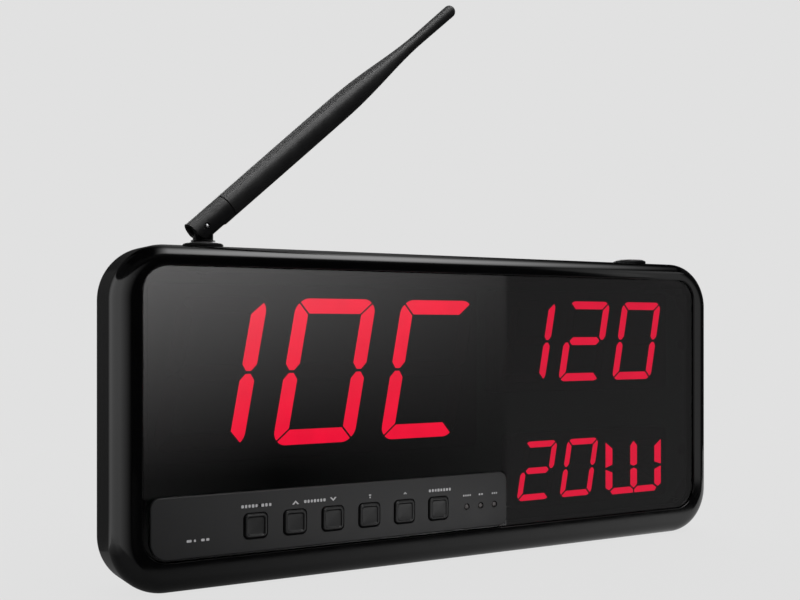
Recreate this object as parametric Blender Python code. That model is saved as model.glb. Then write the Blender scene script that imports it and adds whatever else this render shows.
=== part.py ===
"""Digital display panel: a call receiver with three seven-segment readouts and a folding aerial.

Metres, +Z up. The display faces -Y and the panel stands on its flat underside. The origin is on
the floor, under the middle of the body. Run it with: blender --background --python part.py
"""

from math import asin, cos, degrees, hypot, pi, radians, sin, sqrt, tan

import bmesh
import bpy

MM = 0.001

# ---------------------------------------------------------------- clearances
SEAT_GAP = 0.3 * MM  # between pieces that seat on each other
RUN_GAP = 0.3 * MM  # round keys, knobs, pins and shafts
EMBED = 0.5 * MM  # how far a boss is sunk into the wall that carries it
CUT_PAST = 1.0 * MM  # how far a cutter runs past the face that it opens

# ---------------------------------------------------------------- case
PANEL_WIDTH = 340 * MM
PANEL_HEIGHT = 150 * MM
SHELL_DEPTH = 26 * MM
PANEL_DEPTH = 36 * MM
CORNER_RADIUS = 24 * MM
EDGE_RADIUS = 8 * MM
FRONT_CROWN = 0.06  # how far the front face falls outward from the opening, as a slope
WALL = 2.5 * MM
COVER_WALL = 2.0 * MM
COVER_RIM_THICK = 1.7 * MM
COVER_RIM_INSET = 1.3 * MM  # wall left outside the rebate that takes the rear cover
TRAY_INSET = 3.0 * MM
TRAY_WALL = 3.6 * MM  # at the rim; it thins towards the back
TRAY_TAPER = 2.5 * MM
TRAY_EDGE = 1.5 * MM
CORNER_STEPS = 6
EDGE_STEPS = 4

# ---------------------------------------------------------------- window
SIDE_MARGIN = 12.5 * MM
TOP_MARGIN = 9.0 * MM
BOTTOM_MARGIN = 14.0 * MM
OPENING_RADIUS = 11.5 * MM
OPENING_LIP = 0.5 * MM
WINDOW_RECESS = 1.0 * MM
WINDOW_THICK = 2.0 * MM
LEDGE_WIDTH = 2.5 * MM
LEDGE_THICK = 1.5 * MM

# ---------------------------------------------------------------- control plate and keys
PLATE_WIDTH = 183 * MM
PLATE_HEIGHT = 26.8 * MM
PLATE_SIDE_GAP = 3.0 * MM  # from the side of the window opening to the plate
PLATE_FOOT_GAP = 1.2 * MM  # from the foot of the window opening to the plate
PLATE_PROUD = 0.6 * MM  # in front of the bezel
PLATE_RADIUS = 4.5 * MM
PLATE_OUTER_RADIUS = 8.0 * MM  # beside the corner of the window opening
PLATE_EDGE = 0.5 * MM
KEY_COUNT = 6
KEY_PITCH = 19.0 * MM
KEY_SIZE = 11.0 * MM
KEY_RADIUS = 2.0 * MM
KEY_PROUD = 0.9 * MM  # in front of the plate
KEY_EDGE = 0.6 * MM
KEY_RIM = 1.3 * MM  # flat border round the dished middle
KEY_DISH = 0.3 * MM
KEY_TRAVEL = 0.8 * MM
FIRST_KEY_FROM_PLATE = 47.5 * MM
KEY_ABOVE_PLATE_FOOT = 11.5 * MM
KEY_COLLAR_WIDTH = 0.9 * MM
KEY_COLLAR_THICK = 0.8 * MM
KEY_STEM = 5.0 * MM
KEY_PLUNGER = 3.2 * MM  # the part of the stem that enters the switch
SLOT_MARGIN = 1.0 * MM  # round the key collars, in the window
SWITCH_SIZE = 7.6 * MM
SWITCH_HEIGHT = 4.4 * MM
SWITCH_FLOOR = 1.2 * MM
INDICATOR_COUNT = 3
INDICATOR_PITCH = 8.2 * MM
INDICATOR_RADIUS = 1.25 * MM
INDICATOR_BASE = 1.9 * MM
INDICATOR_PROUD = 0.2 * MM
LAST_INDICATOR_FROM_END = 7.5 * MM
INDICATOR_BELOW_KEYS = 0.6 * MM

# ---------------------------------------------------------------- readouts
READOUT_BEHIND_WINDOW = 0.6 * MM
READOUT_DEPTH = 8.0 * MM
RESIN_THICK = 1.6 * MM  # the cast resin behind the wells, which joins the segments
RESIN_WALL = 1.5 * MM
SEGMENT_SUNK = 0.15 * MM
SEGMENT_GAP = 0.3 * MM
SEGMENT_WALL = 0.5 * MM
SLANT = radians(10.5)

LARGE_CENTRE = (-70.5 * MM, 94.3 * MM)
LARGE_COUNT = 3
LARGE_PITCH = 55.4 * MM
LARGE_DIGIT = (41.3 * MM, 66.6 * MM, 6.9 * MM)  # width, height, stroke
LARGE_BODY = (167.6 * MM, 78 * MM)

MEDIUM_CENTRE = (82.2 * MM, 107.3 * MM)
MEDIUM_COUNT = 3
MEDIUM_PITCH = 36.5 * MM
MEDIUM_DIGIT = (27.5 * MM, 42.0 * MM, 4.4 * MM)
MEDIUM_BODY = (116 * MM, 52 * MM)

SMALL_CENTRE = (87.0 * MM, 40.6 * MM)
SMALL_COUNT = 2
SMALL_PITCH = 27.6 * MM
SMALL_FIRST = -36.0 * MM  # from the middle of the body to the first digit
SMALL_DIGIT = (20.8 * MM, 30.9 * MM, 3.4 * MM)
SMALL_BODY = (106 * MM, 38 * MM)
UNIT_PLACE = (29.5 * MM, -2.1 * MM)  # from the middle of the body
UNIT_DIGIT = (39.6 * MM, 28.8 * MM, 4.8 * MM, 3.5 * MM)  # width, height, posts, bars
BODY_RADIUS = 3.0 * MM

# ---------------------------------------------------------------- boards
BOARD_THICK = 1.6 * MM
DISPLAY_BOARD_SIDE = 7.0 * MM  # from the side of the case to the board
DISPLAY_BOARD_END = 14.5 * MM  # from the top and foot of the case to the board
DISPLAY_BOARD_CORNER = 15.0 * MM
BOARD_POST_INSET = 10.5 * MM
BOARD_POST_RISE = 30.0 * MM  # each side of the middle of the case
BOARD_POST_RADIUS = 3.0 * MM
MAIN_BOARD_SIZE = (100 * MM, 76 * MM)
MAIN_BOARD_CENTRE = (-48 * MM, 79 * MM)
MAIN_BOARD_STANDOFF = 4.1 * MM
MAIN_BOARD_HOLE_INSET = 4.5 * MM
STANDOFF_RADIUS = 3.0 * MM
STAKE_RADIUS = 1.2 * MM
STAKE_HEAD = 2.2 * MM
STAKE_HEAD_THICK = 1.2 * MM

# ---------------------------------------------------------------- screws
CASE_SCREW = {"head": 2.75 * MM, "head_thick": 1.8 * MM, "shank": 1.2 * MM}
CASE_SCREW_LENGTH = 13.0 * MM
CASE_SCREW_FROM_CORNER = 13.8 * MM  # from the middle of the corner arc
CASE_POST_RADIUS = 3.5 * MM
WELL_RADIUS = 3.1 * MM
WELL_WALL = 1.4 * MM
WELL_FLOOR = 2.4 * MM
WELL_PROUD = 1.0 * MM  # in front of the cover's rim
BOARD_SCREW = {"head": 2.2 * MM, "head_thick": 1.4 * MM, "shank": 0.9 * MM}
BOARD_SCREW_LENGTH = 5.0 * MM

# ---------------------------------------------------------------- aerial
AERIAL_FROM_SIDE = 45 * MM
AERIAL_DEPTH = 17 * MM  # behind the bezel's front
FLANGE_RADIUS = 9.0 * MM
FLANGE_LIP = 1.1 * MM
FLANGE_CONE = 0.45 * MM
BARREL_RADIUS = 5.0 * MM
BARREL_LENGTH = 9.0 * MM  # below the top of the case
BARREL_BORE = 3.3 * MM
NUT_WALL = 1.0 * MM  # at the flats
NUT_THICK = 3.0 * MM
NECK_RADIUS = 5.5 * MM
NECK_DISC = 0.5 * MM
TONGUE_WIDTH = 10.6 * MM
TONGUE_THICK = 4.4 * MM
CLIP_THICK = 0.6 * MM
CLIP_RADIUS = 4.8 * MM
GROOVE_RADIUS = 2.3 * MM
PIN_RADIUS = 1.1 * MM
SLEEVE_RADIUS = 5.9 * MM
SLEEVE_HEEL = 6.4 * MM  # behind the pivot
SLEEVE_LENGTH = 14.4 * MM  # ahead of the pivot
SLEEVE_FLAT = 5.0 * MM  # from the axis to the relieved underside
FORK_DEPTH = 6.3 * MM
SPIGOT_RADIUS = 3.7 * MM
SPIGOT_LENGTH = 4.5 * MM
WHIP_LENGTH = 177 * MM  # pivot to tip
WHIP_RADIUS = 5.9 * MM
WHIP_BELLY = 6.1 * MM
WHIP_BELLY_AT = 88.5 * MM  # from the pivot
WHIP_NARROW_AT = 148.7 * MM
WHIP_FALL = 1.12  # how late the rod draws in beyond its belly
WHIP_TIP = 3.1 * MM
WHIP_NARROW = 2.9 * MM
LEAN = radians(48.6)
PLUG_TOP_RADIUS = 7.2 * MM
PLUG_BEAD = 0.9 * MM  # proud of the plug's stem

# ---------------------------------------------------------------- rear fittings
SPEAKER_CENTRE = (95 * MM, 75 * MM)
SPEAKER_RADIUS = 20.5 * MM
SPEAKER_RIM = 2.0 * MM
SPEAKER_DEPTH = 9.0 * MM
MAGNET_RADIUS = 11.0 * MM
MAGNET_THICK = 5.0 * MM
GRILLE_SLOT = 2.2 * MM
GRILLE_PITCH = 4.6 * MM
GRILLE_RADIUS = 17.5 * MM
GRILLE_COUNT = 7
VENT_SLOT = (2.0 * MM, 20.0 * MM)
VENT_PITCH = 6.0 * MM
VENT_COUNT = 7
VENT_CENTRES = ((-48 * MM, 122 * MM), (48 * MM, 122 * MM))
KEYHOLE_FROM_MIDDLE = 120 * MM
KEYHOLE_HEIGHT = 108 * MM
KEYHOLE_HEAD = 4.5 * MM
KEYHOLE_SLOT = 2.3 * MM
KEYHOLE_RISE = 9.0 * MM
INLET_CENTRE = (-132 * MM, 34 * MM)
INLET_NECK = 4.0 * MM
INLET_BODY = 5.5 * MM
INLET_BODY_DEPTH = 9.0 * MM
INLET_SOCKET = 2.8 * MM
INLET_PIN = 1.0 * MM
INLET_NUT_FLATS = 10.0 * MM
INLET_NUT_THICK = 1.8 * MM
INLET_POCKET = 6.2 * MM
SLIDE_CENTRE = (-102 * MM, 26 * MM)
SLIDE_BODY = (16 * MM, 8 * MM, 6 * MM)  # across, up, deep
SLIDE_BASE = (6.0 * MM, 4.4 * MM, 1.6 * MM)
SLIDE_KNOB = (4.6 * MM, 3.0 * MM)
SLIDE_THROW = 3.6 * MM

# ---------------------------------------------------------------- derived places
KEY_FACE = -(PLATE_PROUD + KEY_PROUD)
FRONT_Y = -(PANEL_DEPTH + KEY_FACE) / 2  # the bezel's front plane; depths run back from it
OPENING_WIDTH = PANEL_WIDTH - 2 * SIDE_MARGIN
OPENING_HEIGHT = PANEL_HEIGHT - TOP_MARGIN - BOTTOM_MARGIN
OPENING_MIDDLE = BOTTOM_MARGIN + OPENING_HEIGHT / 2
WINDOW_BACK = WINDOW_RECESS + WINDOW_THICK
LEDGE_FRONT = WINDOW_BACK + SEAT_GAP
LEDGE_BACK = LEDGE_FRONT + LEDGE_THICK
PLATE_LEFT = -OPENING_WIDTH / 2 + PLATE_SIDE_GAP
PLATE_FOOT = BOTTOM_MARGIN + PLATE_FOOT_GAP
PLATE_BACK = WINDOW_RECESS - SEAT_GAP
KEY_HEIGHT = PLATE_FOOT + KEY_ABOVE_PLATE_FOOT
KEY_XS = [PLATE_LEFT + FIRST_KEY_FROM_PLATE + KEY_PITCH * index for index in range(KEY_COUNT)]
INDICATOR_HEIGHT = KEY_HEIGHT - INDICATOR_BELOW_KEYS
LAST_INDICATOR = PLATE_LEFT + PLATE_WIDTH - LAST_INDICATOR_FROM_END
INDICATOR_XS = [LAST_INDICATOR - INDICATOR_PITCH * n for n in reversed(range(INDICATOR_COUNT))]
READOUT_FRONT = WINDOW_BACK + READOUT_BEHIND_WINDOW
READOUT_BACK = READOUT_FRONT + READOUT_DEPTH
RESIN_FRONT = READOUT_BACK - RESIN_THICK
DISPLAY_BOARD_FRONT = READOUT_BACK + SEAT_GAP
DISPLAY_BOARD_BACK = DISPLAY_BOARD_FRONT + BOARD_THICK
SWITCH_BACK = DISPLAY_BOARD_FRONT - SEAT_GAP
SWITCH_FRONT = SWITCH_BACK - SWITCH_HEIGHT
COVER_FRONT = SHELL_DEPTH - COVER_RIM_THICK
COVER_INSIDE = PANEL_DEPTH - COVER_WALL
MAIN_BOARD_BACK = COVER_INSIDE - MAIN_BOARD_STANDOFF
MAIN_BOARD_FRONT = MAIN_BOARD_BACK - BOARD_THICK
WELL_SEAT = COVER_FRONT - WELL_PROUD
AERIAL_X = -PANEL_WIDTH / 2 + AERIAL_FROM_SIDE
AERIAL_Y = FRONT_Y + AERIAL_DEPTH
FLANGE_FOOT = PANEL_HEIGHT + SEAT_GAP
FLANGE_TOP = FLANGE_FOOT + FLANGE_LIP + FLANGE_CONE
NECK_FOOT = FLANGE_TOP + SEAT_GAP
NECK_TOP = NECK_FOOT + NECK_DISC
PIVOT_HEIGHT = NECK_TOP + RUN_GAP + SLEEVE_HEEL
BARREL_END = PANEL_HEIGHT - BARREL_LENGTH


# ---------------------------------------------------------------- scene and materials
def clear_scene():
    for old in list(bpy.data.objects):
        bpy.data.objects.remove(old, do_unlink=True)


def material(name, colour, roughness, metallic=0.0):
    made = bpy.data.materials.new(name)
    made.use_nodes = True
    shader = made.node_tree.nodes["Principled BSDF"]
    shader.inputs["Base Color"].default_value = (*colour, 1.0)
    shader.inputs["Roughness"].default_value = roughness
    shader.inputs["Metallic"].default_value = metallic
    return made


# ---------------------------------------------------------------- outlines
def arc(centre, radius, start, end, steps):
    """Points from angle start to angle end, both included, in degrees."""
    angles = [radians(start + (end - start) * index / steps) for index in range(steps + 1)]
    return [(centre[0] + radius * cos(a), centre[1] + radius * sin(a)) for a in angles]


def rounded_rectangle(width, height, radius, centre=(0.0, 0.0), steps=CORNER_STEPS):
    """Counter-clockwise from the right side of the top right corner."""
    across = width / 2 - radius
    up = height / 2 - radius
    points = []
    for quarter, (side, rise) in enumerate(((1, 1), (-1, 1), (-1, -1), (1, -1))):
        middle = (centre[0] + side * across, centre[1] + rise * up)
        points += arc(middle, radius, 90 * quarter, 90 * quarter + 90, steps)
    return points


def stadium(width, height, centre, steps=5):
    """An upright or level slot with round ends."""
    if width > height:
        radius = height / 2
        reach = width / 2 - radius
        left = arc((centre[0] - reach, centre[1]), radius, 90, 270, steps)
        right = arc((centre[0] + reach, centre[1]), radius, -90, 90, steps)
        return left + right
    radius = width / 2
    reach = height / 2 - radius
    top = arc((centre[0], centre[1] + reach), radius, 0, 180, steps)
    foot = arc((centre[0], centre[1] - reach), radius, 180, 360, steps)
    return top + foot


def circle(centre, radius, steps=16):
    return arc(centre, radius, 0, 360 - 360 / steps, steps - 1)


def hexagon(centre, flats):
    return arc(centre, flats / sqrt(3), 0, 300, 5)


def at_depth(outline, depth):
    """An outline of the panel's face, carried back from the bezel's front plane."""
    return [(x, FRONT_Y + depth, z) for x, z in outline]


def case_ring(inset, depth):
    """The case's outline, inset all round, at a depth."""
    outline = rounded_rectangle(
        PANEL_WIDTH - 2 * inset,
        PANEL_HEIGHT - 2 * inset,
        CORNER_RADIUS - inset,
        (0, PANEL_HEIGHT / 2),
    )
    return at_depth(outline, depth)


def opening_ring(grow, depth):
    """The window opening's outline, grown all round, at a depth."""
    outline = rounded_rectangle(
        OPENING_WIDTH + 2 * grow,
        OPENING_HEIGHT + 2 * grow,
        OPENING_RADIUS + grow,
        (0, OPENING_MIDDLE),
    )
    return at_depth(outline, depth)


# ---------------------------------------------------------------- solids
def loft(bm, rings, closed=False):
    """Skins rings of equally many points. Its ends are capped, or joined to each other."""
    loops = [[bm.verts.new(point) for point in ring] for ring in rings]
    pairs = list(zip(loops, loops[1:]))
    if closed:
        pairs.append((loops[-1], loops[0]))
    for near, far in pairs:
        for index, vert in enumerate(near):
            following = (index + 1) % len(near)
            bm.faces.new((vert, near[following], far[following], far[index]))
    if not closed:
        bm.faces.new(loops[0])
        bm.faces.new(loops[-1])


def prism(bm, outline, near, far):
    """An outline of the panel's face, extruded between two depths."""
    loft(bm, [at_depth(outline, near), at_depth(outline, far)])


def block(bm, centre, size, near, far):
    """A box with its middle at (x, z), its size across and up, between two depths."""
    x, z = centre
    across = size[0] / 2
    up = size[1] / 2
    outline = [(x + across, z + up), (x - across, z + up), (x - across, z - up), (x + across, z - up)]
    prism(bm, outline, near, far)


def turned(bm, profile, place, steps=24, closed=False):
    """Turns a profile of (radius, distance) about an axis; place(a, b, distance) gives the point."""
    rings = []
    for radius, distance in profile:
        rings.append([place(x, y, distance) for x, y in circle((0, 0), radius, steps)])
    loft(bm, rings, closed)


def upright(x, y):
    """Places a turned profile on a vertical axis; its distances are heights."""
    return lambda a, b, height: (x + a, y + b, height)


def backward(centre):
    """Places a turned profile on an axis that runs back through the panel."""
    return lambda a, b, depth: (centre[0] + a, FRONT_Y + depth, centre[1] + b)


def rod(bm, centre, radius, near, far, steps=12):
    turned(bm, [(radius, near), (radius, far)], backward(centre), steps)


def finish(bm, name, look, origin=(0.0, 0.0, 0.0), round_edges=True):
    """Makes the object. Its origin is put at the given point without moving its shape."""
    bmesh.ops.recalc_face_normals(bm, faces=bm.faces)
    bmesh.ops.translate(bm, verts=bm.verts, vec=[-value for value in origin])
    mesh = bpy.data.meshes.new(name)
    bm.to_mesh(mesh)
    bm.free()
    if look:
        mesh.materials.append(look)
    if round_edges:
        mesh.shade_smooth()
        mesh.set_sharp_from_angle(angle=radians(32))
    made = bpy.data.objects.new(name, mesh)
    made.location = origin
    bpy.context.collection.objects.link(made)
    return made


def shape(target, tool_mesh, operation, label):
    """Adds a live Boolean whose tool rides on its target and stays out of the render."""
    tool = finish(tool_mesh, f"{target.name}.{label}", None, tuple(target.location), False)
    tool.location = (0, 0, 0)
    tool.parent = target
    tool.hide_render = True
    tool.display_type = "WIRE"
    modifier = target.modifiers.new(label, "BOOLEAN")
    modifier.operation = operation
    modifier.solver = "EXACT"
    modifier.object = tool
    return target


def soften(target, width, segments=2):
    modifier = target.modifiers.new("softened edges", "BEVEL")
    modifier.width = width
    modifier.segments = segments
    modifier.limit_method = "ANGLE"
    modifier.angle_limit = radians(50)


def smooth_path(points, per_span):
    """A Catmull-Rom curve through the points."""
    ends = [points[0], *points, points[-1]]
    path = []
    for index in range(1, len(ends) - 2):
        before, start, end, after = ends[index - 1 : index + 3]
        for step in range(per_span):
            t = step / per_span
            path.append(
                tuple(
                    0.5
                    * (
                        2 * p1
                        + (p2 - p0) * t
                        + (2 * p0 - 5 * p1 + 4 * p2 - p3) * t**2
                        + (3 * p1 - p0 - 3 * p2 + p3) * t**3
                    )
                    for p0, p1, p2, p3 in zip(before, start, end, after)
                )
            )
    path.append(tuple(points[-1]))
    return path


def lead(name, points, radius, look, per_span=5):
    """A round wire along a smooth route."""
    path = smooth_path(points, per_span)
    curve = bpy.data.curves.new(name, "CURVE")
    curve.dimensions = "3D"
    curve.bevel_depth = radius
    curve.bevel_resolution = 2
    curve.use_fill_caps = True
    spline = curve.splines.new("POLY")
    spline.points.add(len(path) - 1)
    for point, place in zip(spline.points, path):
        point.co = (*place, 1.0)
    curve.materials.append(look)
    made = bpy.data.objects.new(name, curve)
    bpy.context.collection.objects.link(made)
    return made


# ---------------------------------------------------------------- screw places
def corner_places(reach):
    """Four places on the diagonals of the case's corner arcs, reach from each arc's middle."""
    out = reach / sqrt(2)
    across = PANEL_WIDTH / 2 - CORNER_RADIUS + out
    up = PANEL_HEIGHT / 2 - CORNER_RADIUS + out
    middle = PANEL_HEIGHT / 2
    return [(side * across, middle + rise * up) for side in (-1, 1) for rise in (-1, 1)]


def case_screw_places():
    return corner_places(CASE_SCREW_FROM_CORNER)


def board_post_places():
    across = PANEL_WIDTH / 2 - BOARD_POST_INSET
    middle = PANEL_HEIGHT / 2
    return [(side * across, middle + rise * BOARD_POST_RISE) for side in (-1, 1) for rise in (-1, 1)]


def main_board_places():
    across = MAIN_BOARD_SIZE[0] / 2 - MAIN_BOARD_HOLE_INSET
    up = MAIN_BOARD_SIZE[1] / 2 - MAIN_BOARD_HOLE_INSET
    x, z = MAIN_BOARD_CENTRE
    return [(x + side * across, z + rise * up) for side in (-1, 1) for rise in (-1, 1)]


def screw(name, centre, size, seat, length, look):
    """A pan-head screw driven from behind: its head lies on the seat and its shank runs forward."""
    crown = seat + size["head_thick"]
    profile = [
        (size["shank"] * 0.6, seat - length),
        (size["shank"], seat - length + size["shank"]),
        (size["shank"], seat),
        (size["head"], seat),
        (size["head"], crown - size["head_thick"] * 0.45),
        (size["head"] * 0.72, crown),
    ]
    bm = bmesh.new()
    turned(bm, profile, backward(centre), 10)
    return finish(bm, name, look, (centre[0], FRONT_Y + seat, centre[1]))


# ---------------------------------------------------------------- case
def crowned_ring():
    """Where the rounded edge meets the front face, which falls away a little from the opening."""
    outside = case_ring(EDGE_RADIUS, 0)
    inside = opening_ring(OPENING_LIP, 0)
    return [
        (x, y + FRONT_CROWN * hypot(x - across, z - up), z)
        for (x, y, z), (across, _, up) in zip(outside, inside)
    ]


def front_housing(look):
    rings = [case_ring(0, SHELL_DEPTH)]
    for index in range(EDGE_STEPS):
        turn = pi / 2 * index / EDGE_STEPS
        rings.append(case_ring(EDGE_RADIUS * (1 - cos(turn)), EDGE_RADIUS * (1 - sin(turn))))
    rings.append(crowned_ring())
    rings.append(opening_ring(OPENING_LIP, 0))
    rings.append(opening_ring(OPENING_LIP * 0.3, OPENING_LIP * 0.3))
    rings.append(opening_ring(0, OPENING_LIP))
    rings.append(opening_ring(0, LEDGE_FRONT))
    rings.append(opening_ring(-LEDGE_WIDTH, LEDGE_FRONT))
    rings.append(opening_ring(-LEDGE_WIDTH, LEDGE_BACK))
    inner_radius = EDGE_RADIUS - WALL
    start = (EDGE_RADIUS - LEDGE_BACK) / inner_radius
    steps = EDGE_STEPS // 2
    for index in range(steps + 1):
        rise = start * (1 - index / steps)
        inset = EDGE_RADIUS - inner_radius * sqrt(1 - rise**2)
        rings.append(case_ring(inset, EDGE_RADIUS - inner_radius * rise))
    rebate = COVER_FRONT - SEAT_GAP
    rings.append(case_ring(WALL, rebate))
    rings.append(case_ring(COVER_RIM_INSET, rebate))
    rings.append(case_ring(COVER_RIM_INSET, SHELL_DEPTH))
    bm = bmesh.new()
    loft(bm, rings, closed=True)
    housing = finish(bm, "front_housing", look)

    posts = bmesh.new()
    pilots = bmesh.new()
    post_end = WELL_SEAT - SEAT_GAP
    for centre in case_screw_places():
        rod(posts, centre, CASE_POST_RADIUS, LEDGE_BACK - EMBED, post_end)
        reach = post_end - CASE_SCREW_LENGTH
        rod(pilots, centre, CASE_SCREW["shank"] + RUN_GAP, reach, post_end + CUT_PAST, 10)
    board_post_end = DISPLAY_BOARD_FRONT - SEAT_GAP
    for centre in board_post_places():
        rod(posts, centre, BOARD_POST_RADIUS, LEDGE_BACK - EMBED, board_post_end)
        reach = board_post_end - BOARD_SCREW_LENGTH
        rod(pilots, centre, BOARD_SCREW["shank"] + RUN_GAP, reach, board_post_end + CUT_PAST, 10)
    shape(housing, posts, "UNION", "posts")
    for x in (AERIAL_X, -AERIAL_X):
        span = [(BARREL_RADIUS + RUN_GAP, PANEL_HEIGHT - WALL - CUT_PAST)]
        span.append((BARREL_RADIUS + RUN_GAP, PANEL_HEIGHT + CUT_PAST))
        turned(pilots, span, upright(x, AERIAL_Y))
    return shape(housing, pilots, "DIFFERENCE", "holes")


def keyhole_outline(x):
    """Round head below, narrow slot above, as one outline."""
    head = (x, KEYHOLE_HEIGHT)
    turn = degrees(asin(KEYHOLE_SLOT / KEYHOLE_HEAD))
    bottom = arc(head, KEYHOLE_HEAD, 90 + turn, 450 - turn, 11)
    top = arc((x, KEYHOLE_HEIGHT + KEYHOLE_RISE), KEYHOLE_SLOT, 0, 180, 4)
    return bottom + top


def grille_slots(bm):
    """Level slots, each as long as the round grille is wide at its height."""
    x, z = SPEAKER_CENTRE
    for index in range(GRILLE_COUNT):
        rise = GRILLE_PITCH * (index - (GRILLE_COUNT - 1) / 2)
        length = 2 * sqrt(GRILLE_RADIUS**2 - rise**2)
        slot = stadium(length, GRILLE_SLOT, (x, z + rise), 2)
        prism(bm, slot, COVER_INSIDE - CUT_PAST, PANEL_DEPTH + CUT_PAST)


def vent_slots(bm):
    for x, z in VENT_CENTRES:
        for index in range(VENT_COUNT):
            across = x + VENT_PITCH * (index - (VENT_COUNT - 1) / 2)
            slot = stadium(*VENT_SLOT, (across, z), 2)
            prism(bm, slot, COVER_INSIDE - CUT_PAST, PANEL_DEPTH + CUT_PAST)


def rear_cover(look):
    rim = COVER_RIM_INSET + SEAT_GAP
    back_inset = TRAY_INSET + TRAY_TAPER
    rings = [
        case_ring(back_inset + COVER_WALL + SEAT_GAP, COVER_INSIDE),
        case_ring(TRAY_INSET + TRAY_WALL, COVER_FRONT),
        case_ring(rim, COVER_FRONT),
        case_ring(rim, SHELL_DEPTH),
        case_ring(TRAY_INSET, SHELL_DEPTH),
        case_ring(back_inset, PANEL_DEPTH - TRAY_EDGE),
        case_ring(back_inset + TRAY_EDGE * 0.3, PANEL_DEPTH - TRAY_EDGE * 0.3),
        case_ring(back_inset + TRAY_EDGE, PANEL_DEPTH),
    ]
    bm = bmesh.new()
    loft(bm, rings)
    cover = finish(bm, "rear_cover", look)

    bosses = bmesh.new()
    cuts = bmesh.new()
    sunk = COVER_INSIDE + EMBED
    past = PANEL_DEPTH + CUT_PAST
    well_floor = WELL_SEAT + WELL_FLOOR
    shank_hole = CASE_SCREW["shank"] + 2 * RUN_GAP
    for centre in case_screw_places():
        rod(bosses, centre, WELL_RADIUS + WELL_WALL, WELL_SEAT, sunk)
        well = [(shank_hole, WELL_SEAT - CUT_PAST), (shank_hole, well_floor)]
        well += [(WELL_RADIUS, well_floor), (WELL_RADIUS, past)]
        turned(cuts, well, backward(centre), 12)
    for centre in main_board_places():
        turned(bosses, stake_profile(sunk), backward(centre), 10)
    seat = SPEAKER_RADIUS + RUN_GAP
    ring = [(seat, COVER_INSIDE - SPEAKER_RIM), (seat + WALL / 2, COVER_INSIDE - SPEAKER_RIM)]
    ring += [(seat + WALL / 2, sunk), (seat, sunk)]
    turned(bosses, ring, backward(SPEAKER_CENTRE), 24, closed=True)
    pocket = PANEL_DEPTH - INLET_NUT_THICK - 2 * SEAT_GAP
    rod(bosses, INLET_CENTRE, INLET_POCKET + COVER_WALL, pocket - COVER_WALL, sunk, 16)
    neck_hole = INLET_NECK + RUN_GAP
    hole = [(neck_hole, pocket - COVER_WALL - CUT_PAST), (neck_hole, pocket)]
    hole += [(INLET_POCKET, pocket), (INLET_POCKET, past)]
    turned(cuts, hole, backward(INLET_CENTRE), 16)
    slot = (SLIDE_KNOB[0] + SLIDE_THROW + 2 * RUN_GAP, SLIDE_KNOB[1] + 2 * RUN_GAP)
    block(cuts, SLIDE_CENTRE, slot, COVER_INSIDE - CUT_PAST, past)
    for x in (-KEYHOLE_FROM_MIDDLE, KEYHOLE_FROM_MIDDLE):
        prism(cuts, keyhole_outline(x), COVER_INSIDE - CUT_PAST, past)
    grille_slots(cuts)
    vent_slots(cuts)
    shape(cover, bosses, "UNION", "bosses")
    return shape(cover, cuts, "DIFFERENCE", "openings")


def stake_profile(sunk):
    """A standoff whose peg goes through the main board and is staked over in front of it."""
    head_back = MAIN_BOARD_FRONT - SEAT_GAP
    shoulder = MAIN_BOARD_BACK + SEAT_GAP
    return [
        (STAKE_HEAD * 0.8, head_back - STAKE_HEAD_THICK),
        (STAKE_HEAD, head_back - STAKE_HEAD_THICK * 0.6),
        (STAKE_HEAD, head_back),
        (STAKE_RADIUS, head_back),
        (STAKE_RADIUS, shoulder),
        (STANDOFF_RADIUS, shoulder),
        (STANDOFF_RADIUS, sunk),
    ]


# ---------------------------------------------------------------- window, plate and keys
def key_slot_outline():
    """One long slot in the window behind the keys and the indicators."""
    half = KEY_SIZE / 2 + KEY_COLLAR_WIDTH + SLOT_MARGIN
    left = KEY_XS[0] - half
    right = INDICATOR_XS[-1] + INDICATOR_BASE + SLOT_MARGIN
    return rounded_rectangle(right - left, 2 * half, KEY_RADIUS, ((left + right) / 2, KEY_HEIGHT), 4)


def display_window(look):
    bm = bmesh.new()
    loft(bm, [opening_ring(-SEAT_GAP, WINDOW_RECESS), opening_ring(-SEAT_GAP, WINDOW_BACK)])
    window = finish(bm, "display_window", look)
    slot = bmesh.new()
    prism(slot, key_slot_outline(), WINDOW_RECESS - CUT_PAST, WINDOW_BACK + CUT_PAST)
    return shape(window, slot, "DIFFERENCE", "key slot")


def plate_ring(inset, depth):
    """The plate's outline; its corner beside the window's corner follows it with a larger radius."""
    left = PLATE_LEFT + inset
    right = PLATE_LEFT + PLATE_WIDTH - inset
    foot = PLATE_FOOT + inset
    top = PLATE_FOOT + PLATE_HEIGHT - inset
    small = PLATE_RADIUS - inset
    large = PLATE_OUTER_RADIUS - inset
    outline = arc((right - small, top - small), small, 0, 90, 5)
    outline += arc((left + small, top - small), small, 90, 180, 5)
    outline += arc((left + large, foot + large), large, 180, 270, 5)
    outline += arc((right - small, foot + small), small, 270, 360, 5)
    return at_depth(outline, depth)


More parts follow.
